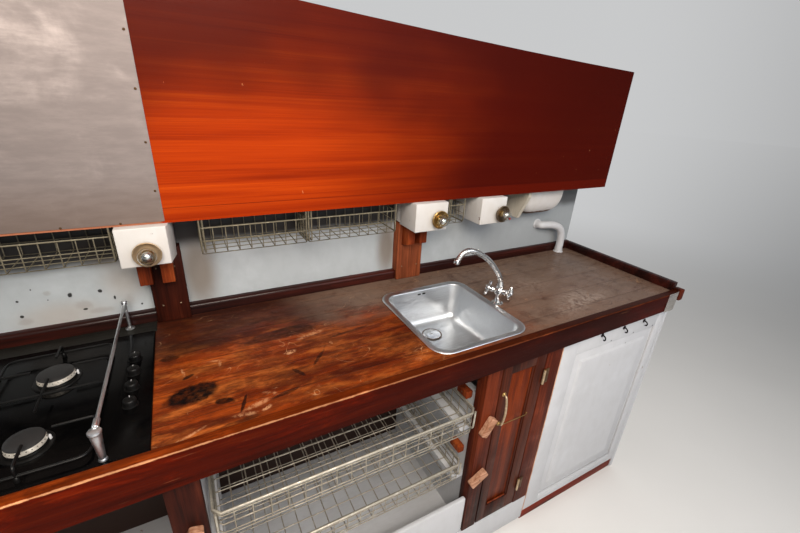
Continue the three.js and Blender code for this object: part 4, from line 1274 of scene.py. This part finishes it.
def make_turn_buttons():
    """Wooden buttons on one screw each: length, width and tilt in degrees."""
    for name, long, wide, tilt in (("upper", 77, 33, 57), ("lower", 79, 36, 30),
                                   ("left", 72, 34, 70)):
        node = "turn_button_" + name
        x0, x1, y0, y1, low, high = box_mm(node)
        x, z = (x0 + x1) / 2, (low + high) / 2
        shape = prism(rounded(-long / 2, long / 2, -wide / 2, wide / 2, 6, 4), Y, y0, y1, 3, 3)
        turn = Matrix.Rotation(math.radians(-tilt), 4, "Y")
        shift = Matrix.Translation(at(x, 0, z)) @ turn @ Matrix.Translation(-at(0, 0, 0))
        bmesh.ops.transform(shape, matrix=shift, verts=shape.verts)
        dressed(node, "rounded", of(BUTTON_WOOD, shape) + of(BRONZE, screw(x, y0, z, r=3)))


def frame_at(y, x0, x1, z0, z1, inset):
    """The corners of an upright rectangle, drawn in by inset."""
    return [(x, y, z) for x, z in ((x0 + inset, z0 + inset), (x1 - inset, z0 + inset),
                                   (x1 - inset, z1 - inset), (x0 + inset, z1 - inset))]


def leaf(node_box, margins, wood, moulding, panel):
    """A framed leaf: stiles and rails with these margins, a panel set back, a bead round it."""
    x0, x1, y0, y1, z0, z1 = node_box
    left, right, low, high = margins
    a, b, c, d = x0 + left, x1 - right, z0 + low, z1 - high
    recess = 8
    parts = of(wood, box(x0, a, y0, y1, z0, z1), box(b, x1, y0, y1, z0, z1),
               box(a - 0.5, b + 0.5, y0 + 0.2, y1, z0, c, 1.2),
               box(a - 0.5, b + 0.5, y0 + 0.2, y1, d, z1, 1.2))
    parts += of(panel, box(a - 1, b + 1, y0 + recess, y1 - 4, c - 1, d + 1, 0.5))
    parts += of(wood, tube(frame_at(y0 + recess, a, b, c, d, 4), moulding, 12, True))
    return parts, (a, b, c, d)


def make_door():
    """The framed door with a thin brass rod across it, a paler strip along the panel's lower edge
    as a painted highlight, and its bowed pull.
    """
    door = box_mm("door")
    y0 = door[2]
    parts, (a, b, c, _) = leaf(door, (40, 49, 80, 54), DOOR_WOOD, 4.5, DOOR_PANEL_WOOD)
    rod_z = -369
    rod = [(a - 8, y0 - 1.5, rod_z), (a + 2, y0 - 6, rod_z), (b - 6, y0 - 6, rod_z - 2),
           (b + 6, y0 - 1.5, rod_z - 2)]
    parts += of(BRASS, tube(bent(rod, 6), 1.6, 8),
                *(screw(x, y0, z) for x, _, z in (rod[0], rod[-1])))
    # Painted highlight: a paler wood strip along the lower edge of the panel.
    parts += of(WEDGE_WOOD, box(a + 12, b - 12, y0 + 1, y0 + 6, c + 3, c + 9, 2, 3))
    dressed("door", "framed", parts, "door")

    low, high = box_mm("door_pull")[4:]
    x, low, high = door[0] + 20, low + 9, high - 9
    bow = [(x, y0 - 3, low), (x, y0 - 15, low + 9), (x, y0 - 22, (low + high) / 2),
           (x, y0 - 15, high - 9), (x, y0 - 3, high)]
    path = flowing(bow, 8)
    radii = [3 + 1.6 * math.sin(math.pi * i / (len(path) - 1)) for i in range(len(path))]
    rose = [(0, 0), (9, 0), (9, 1.6), (6.5, 3), (4.5, 6), (0, 6)]
    parts = of(PALE_BRASS, tube(path, radii, 14))
    parts += of(BRASS, *(turned(rose, (x, y0, z), AHEAD) for z in (low, high)))
    dressed("door_pull", "bowed", parts, "door")


def make_hinges():
    """Knuckled barrels, and a leaf with three screws on the post."""
    knuckles = 5
    for node in ("hinge_lower", "hinge_upper"):
        x0, x1, y0, y1, z0, z1 = box_mm(node)
        x, y, r = x0 + 5, y0 + 5, 4.8
        long = z1 - z0
        pitch = (long - 6) / knuckles
        knuckle = [(0, 0.3), (r - 0.6, 0.3), (r, 0.9), (r, pitch - 0.9), (r - 0.6, pitch - 0.3),
                   (0, pitch - 0.3)]
        pin = [(0, 0), (2.2, 0), (3, 1.4), (3, long - 1.4), (2.2, long), (0, long)]
        parts = of(PALE_BRASS, *(turned(knuckle, (x, y, z0 + 3 + k * pitch), sides=20)
                                 for k in range(knuckles)))
        parts += of(BRASS, turned(pin, (x, y, z0), sides=14))
        parts += of(DARK_BRASS, box(x + 2, x1, y1 - 2.4, y1, z0 + 2, z1 - 2, 0.6),
                    *(screw((x + x1) / 2 + 4, y1 - 2.4, z0 + long * share, r=3)
                      for share in (0.18, 0.5, 0.82)))
        dressed(node, "knuckled", parts)


def make_white_panel():
    """Framed panel with a groove lined by a dark tube as painted shadow, a raised field, a worn
    left edge and a dark foot strip.
    """
    x0, x1, y0, y1, foot, z1 = box_mm("white_panel")
    z0 = foot + 60
    parts, inner = leaf((x0, x1, y0, y1, z0, z1), (90, 47, 52, 127), WHITE_PAINT, 2.4, WHITE_PAINT)
    rings = []
    for inset, y in ((44, y0 + 9), (53, y0 + 2.2), (56, y0 + 1.4), (78, y0 + 0.6)):
        a, b, c, d = inner
        corners = rounded(a + inset, b - inset, c + inset, d - inset, 2, 2)
        rings.append([at(x, y, z) for x, z in corners])
    holes = [(1753, -160, 0.4), (1732, -212, 8.4), (1602, -160, 0.4), (1893, -159, 0.4)]
    hole = [(0, 0), (3, 0), (2.4, 0.7), (0, 0.8)]
    parts += of(WHITE_PAINT, skin(rings))
    # Painted shadow: a dark tube along the groove.
    parts += of(GROOVE_SHADOW, tube(frame_at(y0 + 7.6, *inner, 1.5), 1.6, 8, True))
    parts += of(BUTTON_WOOD, box(x0 - 0.2, x0 + 4, y0 - 0.5, y1 - 1, z0 + 1, z1 - 1))
    # Black discs for the screw holes: painted shade.
    parts += of(HOLE_SHADE, *(turned(hole, (x, y0 + deep, z), AHEAD, 12) for x, z, deep in holes))
    parts += of(PLINTH_WOOD, box(x0, x1, y0 + 4, y1 - 1, foot, z0))
    dressed("white_panel", "framed", parts)


def make_towel_hooks():
    """Three black hooks under the front board, at the white panel's top rail."""
    y = box_mm("white_panel")[2]
    line = ((1, -113), (9, -114), (16, -121), (15, -130), (9, -131))
    rose = [(0, 0), (9, 0), (9, 1.2), (6, 2.6), (0, 3)]
    shapes = []
    for x in (1527, 1669, 1808):
        shapes += [tube(flowing([(x, y - out, z) for out, z in line]), 2.8),
                   turned(rose, (x, y, -114), AHEAD, 20)]
    extra_piece("towel_hooks", of(ENAMEL, *shapes))


def make_bottom_board():
    """The deck, the white sill before it, and the rounded board in front of the lowest space."""
    x0, x1, y0, y1, low, high = box_mm("bottom_board")
    gap, thick, right = 0.3, 18, 940
    post_left = box_mm("post_left")
    deck = post_left[4] - gap
    shapes = (box(x0, x1, y0 + thick + gap, y1, deck - thick, deck),
              box(x0, box_mm("post_right")[1] - gap, y0, y0 + 19.3, low, deck, 2),
              box(post_left[1] + gap, right - gap, 36, 54, deck - thick, high, 6, 4))
    dressed("bottom_board", "rounded", of(WHITE_PAINT, *shapes))


for make in (make_front_board, make_fillet, make_upper_posts, make_steel_sheet, make_hob_splash,
             make_lamp_boxes, make_lamps, make_vent_housing, make_wall_pipe, make_baskets,
             make_racks, make_sink, make_tap, make_hob, make_knobs, make_pan_supports,
             make_hob_rails, make_posts, make_turn_buttons, make_door, make_hinges,
             make_white_panel, make_towel_hooks, make_bottom_board):
    make()


# Stage and light

SKY = "#e8e9ea"


def sky_strength(towards):
    """Brightness of the surroundings, highest behind the unit; the far floor takes it over."""
    return span(towards, -0.2, 0.6, 0.24, 0.72)


def make_floor():
    """A pale floor that fades into the surroundings."""
    size = 40.0
    bm = bmesh.new()
    bmesh.ops.create_grid(bm, x_segments=1, y_segments=1, size=size)
    mesh = bpy.data.meshes.new("floor")
    bm.to_mesh(mesh)
    bm.free()
    floor = bpy.data.objects.new("floor", mesh)
    material, shader, place = new_material("floor_finish", roughness=0.8, shine=0.0,
                                           emission_color=colour(SKY))
    tone = blend(noise(place, 1.5, 3), "#e4e3e1", "#ecebe9")
    far = vectors("LENGTH", place, output="Value")
    fade = span(far, 2.0, 7.0)
    feed(shader, base_color=blend(fade, tone, "#000000"),
         emission_strength=fade * sky_strength(split(place)[Y] / far))
    mesh.materials.append(material)
    bpy.context.scene.collection.objects.link(floor)


def make_light(name, place, target, size, power, tint):
    data = bpy.data.lights.new(name, "AREA")
    data.shape = "RECTANGLE"
    data.size, data.size_y = size
    data.energy = power
    data.color = colour(tint)[:3]
    light = bpy.data.objects.new(name, data)
    turn = (target - place).to_track_quat("-Z", "Y").to_matrix().to_4x4()
    light.matrix_world = Matrix.Translation(place) @ turn
    bpy.context.scene.collection.objects.link(light)


def make_lights():
    make_light("window_light", at(100, -1300, 1600), at(450, 450, 250), (1.5, 1.0), 75, "#fff4e6")
    make_light("cabin_light", at(1900, -1700, 1300), at(1200, 300, 0), (1.4, 1.4), 18, "#f2f6ff")
    make_light("low_light", at(600, -2300, 100), at(700, 0, -500), (2.4, 1.0), 11, "#ffffff")
    world = bpy.data.worlds.new("studio")
    bpy.context.scene.world = world
    world.use_nodes = True
    tree = world.node_tree
    background = tree.nodes["Background"]
    background.inputs["Color"].default_value = colour(SKY)
    way = add(tree, "ShaderNodeTexCoord", output="Generated")
    link(sky_strength(split(way)[Y]), background.inputs["Strength"])


make_floor()
make_lights()
bpy.context.scene.view_settings.view_transform = "Standard"
